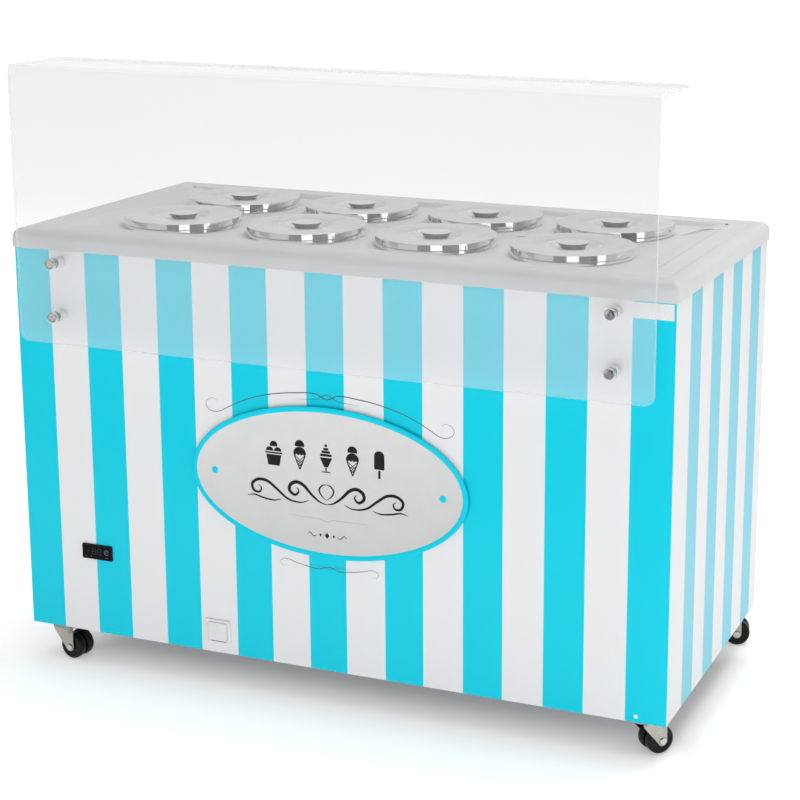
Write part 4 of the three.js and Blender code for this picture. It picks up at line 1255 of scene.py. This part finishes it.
def cards():
    """Upright studio cards round the front, and one on the floor, that only the metal sees."""
    radius, height, bearing = 3.3, 1.35, 24.6
    # Where each band starts, in degrees from the bearing, and how bright it is.
    bands = [(-150, 0.14), (-100, 0.34), (-72, 0.62), (-33, 0.05), (-10, 1.7), (10, 0.04), (28, 0.09),
             (40, 1.5), (54, 0.50), (75, 0.75), (110, 0.80), (150, 0.80)]
    verts, faces, picks, mats = [], [], [], []
    for (start, level), (end, _) in zip(bands, bands[1:]):
        mats.append(emission("card_%d" % (start + 180), level))
        steps = max(int((end - start) / 3), 1)
        for i in range(steps):
            base = len(verts)
            for k in (i, i + 1):
                angle = radians(start + (end - start) * k / steps + bearing)
                for z in (0.001, height):
                    verts.append((radius * sin(angle), -radius * cos(angle), z))
            faces.append((base, base + 1, base + 3, base + 2))
            picks.append(len(mats) - 1)
    ring = staged("studio_cards", verts, faces, mats, picks)
    dark = emission("floor_card_grey", 0.32)
    front = staged("floor_card", rectangle(-4, 3, -3.3, -1.3, 0.002), [(0, 1, 2, 3)], [dark])
    for card in (ring, front):
        card.visible_camera = card.visible_diffuse = card.visible_shadow = False
        card.visible_transmission = card.visible_volume_scatter = False


cards()


def world_light():
    """A pale studio dome, dark above the camera side so that polished metal has something to show."""
    world = bpy.data.worlds.new("studio")
    bpy.context.scene.world = world
    world.use_nodes = True
    world.node_tree.nodes.clear()
    studio = Nodes(world.node_tree)

    def blend(value, low, high, a, b):
        """Goes from a to b as the value goes from low to high."""
        made = studio.node("Mix", data_type="FLOAT")
        studio.link(studio.spread(value, 0, 1, low, high), made.inputs["Factor"])
        studio.link(a, made.inputs["A"])
        if isinstance(b, float):
            made.inputs["B"].default_value = b
        else:
            studio.link(b, made.inputs["B"])
        return made.outputs["Result"]

    axes = studio.node("SeparateXYZ")
    studio.link(studio.node("TexCoord").outputs["Generated"], axes.inputs[0])
    x, y, z = axes.outputs
    # Bearing from the front, to the right, from 0 at the rear through 0.5 at the front to 1.
    turned = studio.math("ARCTAN2", x, studio.math("MULTIPLY", y, -1.0))
    bearing = studio.math("ADD", studio.math("DIVIDE", turned, TAU), 0.5)
    low = studio.greys(bearing, [(0.0, 0.80), (0.12, 0.76), (0.30, 0.5), (0.42, 0.3), (0.60, 0.3),
                                    (0.72, 0.8), (0.88, 0.95), (1.0, 0.80)])
    high = studio.greys(bearing, [(0.0, 0.52), (0.14, 0.50), (0.30, 0.35), (0.38, 0.10), (0.66, 0.10),
                                     (0.76, 0.5), (0.88, 0.56), (1.0, 0.52)])
    level = blend(z, 0.20, 0.36, low, high)
    level = blend(z, 0.80, 0.93, level, 1.4)
    background = studio.node("Background")
    studio.link(level, background.inputs["Color"])
    studio.link(background.outputs[0], studio.node("OutputWorld").inputs["Surface"])


world_light()


def soft_light(name, location, target, size, power):
    """A large area light that leaves no reflection of its own."""
    light = bpy.data.lights.new(name, "AREA")
    light.shape, light.size, light.size_y = "RECTANGLE", *size
    light.energy = power
    obj = linked(name, light)
    obj.location = location
    obj.rotation_euler = (Vector(target) - Vector(location)).to_track_quat("-Z", "Y").to_euler()
    obj.visible_glossy = obj.visible_camera = False


soft_light("key_top", (0.9, 1.3, 3.6), (0, 0, 0.4), (2.6, 2.0), 60)
soft_light("front_fill", (1.8, -5.2, 1.8), (0, 0, 0.4), (5.0, 2.6), 96)
soft_light("side_fill", (5.0, 0.8, 1.8), (0.5, 0, 0.5), (4.0, 2.4), 16)


def camera():
    """The photograph's view. Its place is in body widths; the shift is what the framing needs."""
    width = 2 * HALF_W
    position = Vector((1.1550 * width, FRONT - 2.2944 * width, PANEL_LOW + 1.1036 * width))
    pitch, yaw, roll = radians(12.60), radians(-21.53), radians(0.25)
    level = cos(pitch)
    forward = Vector((sin(yaw) * level, cos(yaw) * level, -sin(pitch)))
    right = Vector((cos(yaw), -sin(yaw), 0))
    up = right.cross(forward)
    tilted_right = cos(roll) * right + sin(roll) * up
    tilted_up = -sin(roll) * right + cos(roll) * up
    data = bpy.data.cameras.new("camera")
    data.sensor_width = 36
    data.lens = 86.23125
    data.shift_x, data.shift_y = -0.116925, -0.114775
    data.clip_end = 200
    obj = linked("camera", data)
    turn = Matrix((tilted_right, tilted_up, -forward)).transposed().to_4x4()
    obj.matrix_world = Matrix.Translation(position) @ turn
    bpy.context.scene.camera = obj


camera()
bpy.context.scene.view_settings.view_transform = "Standard"
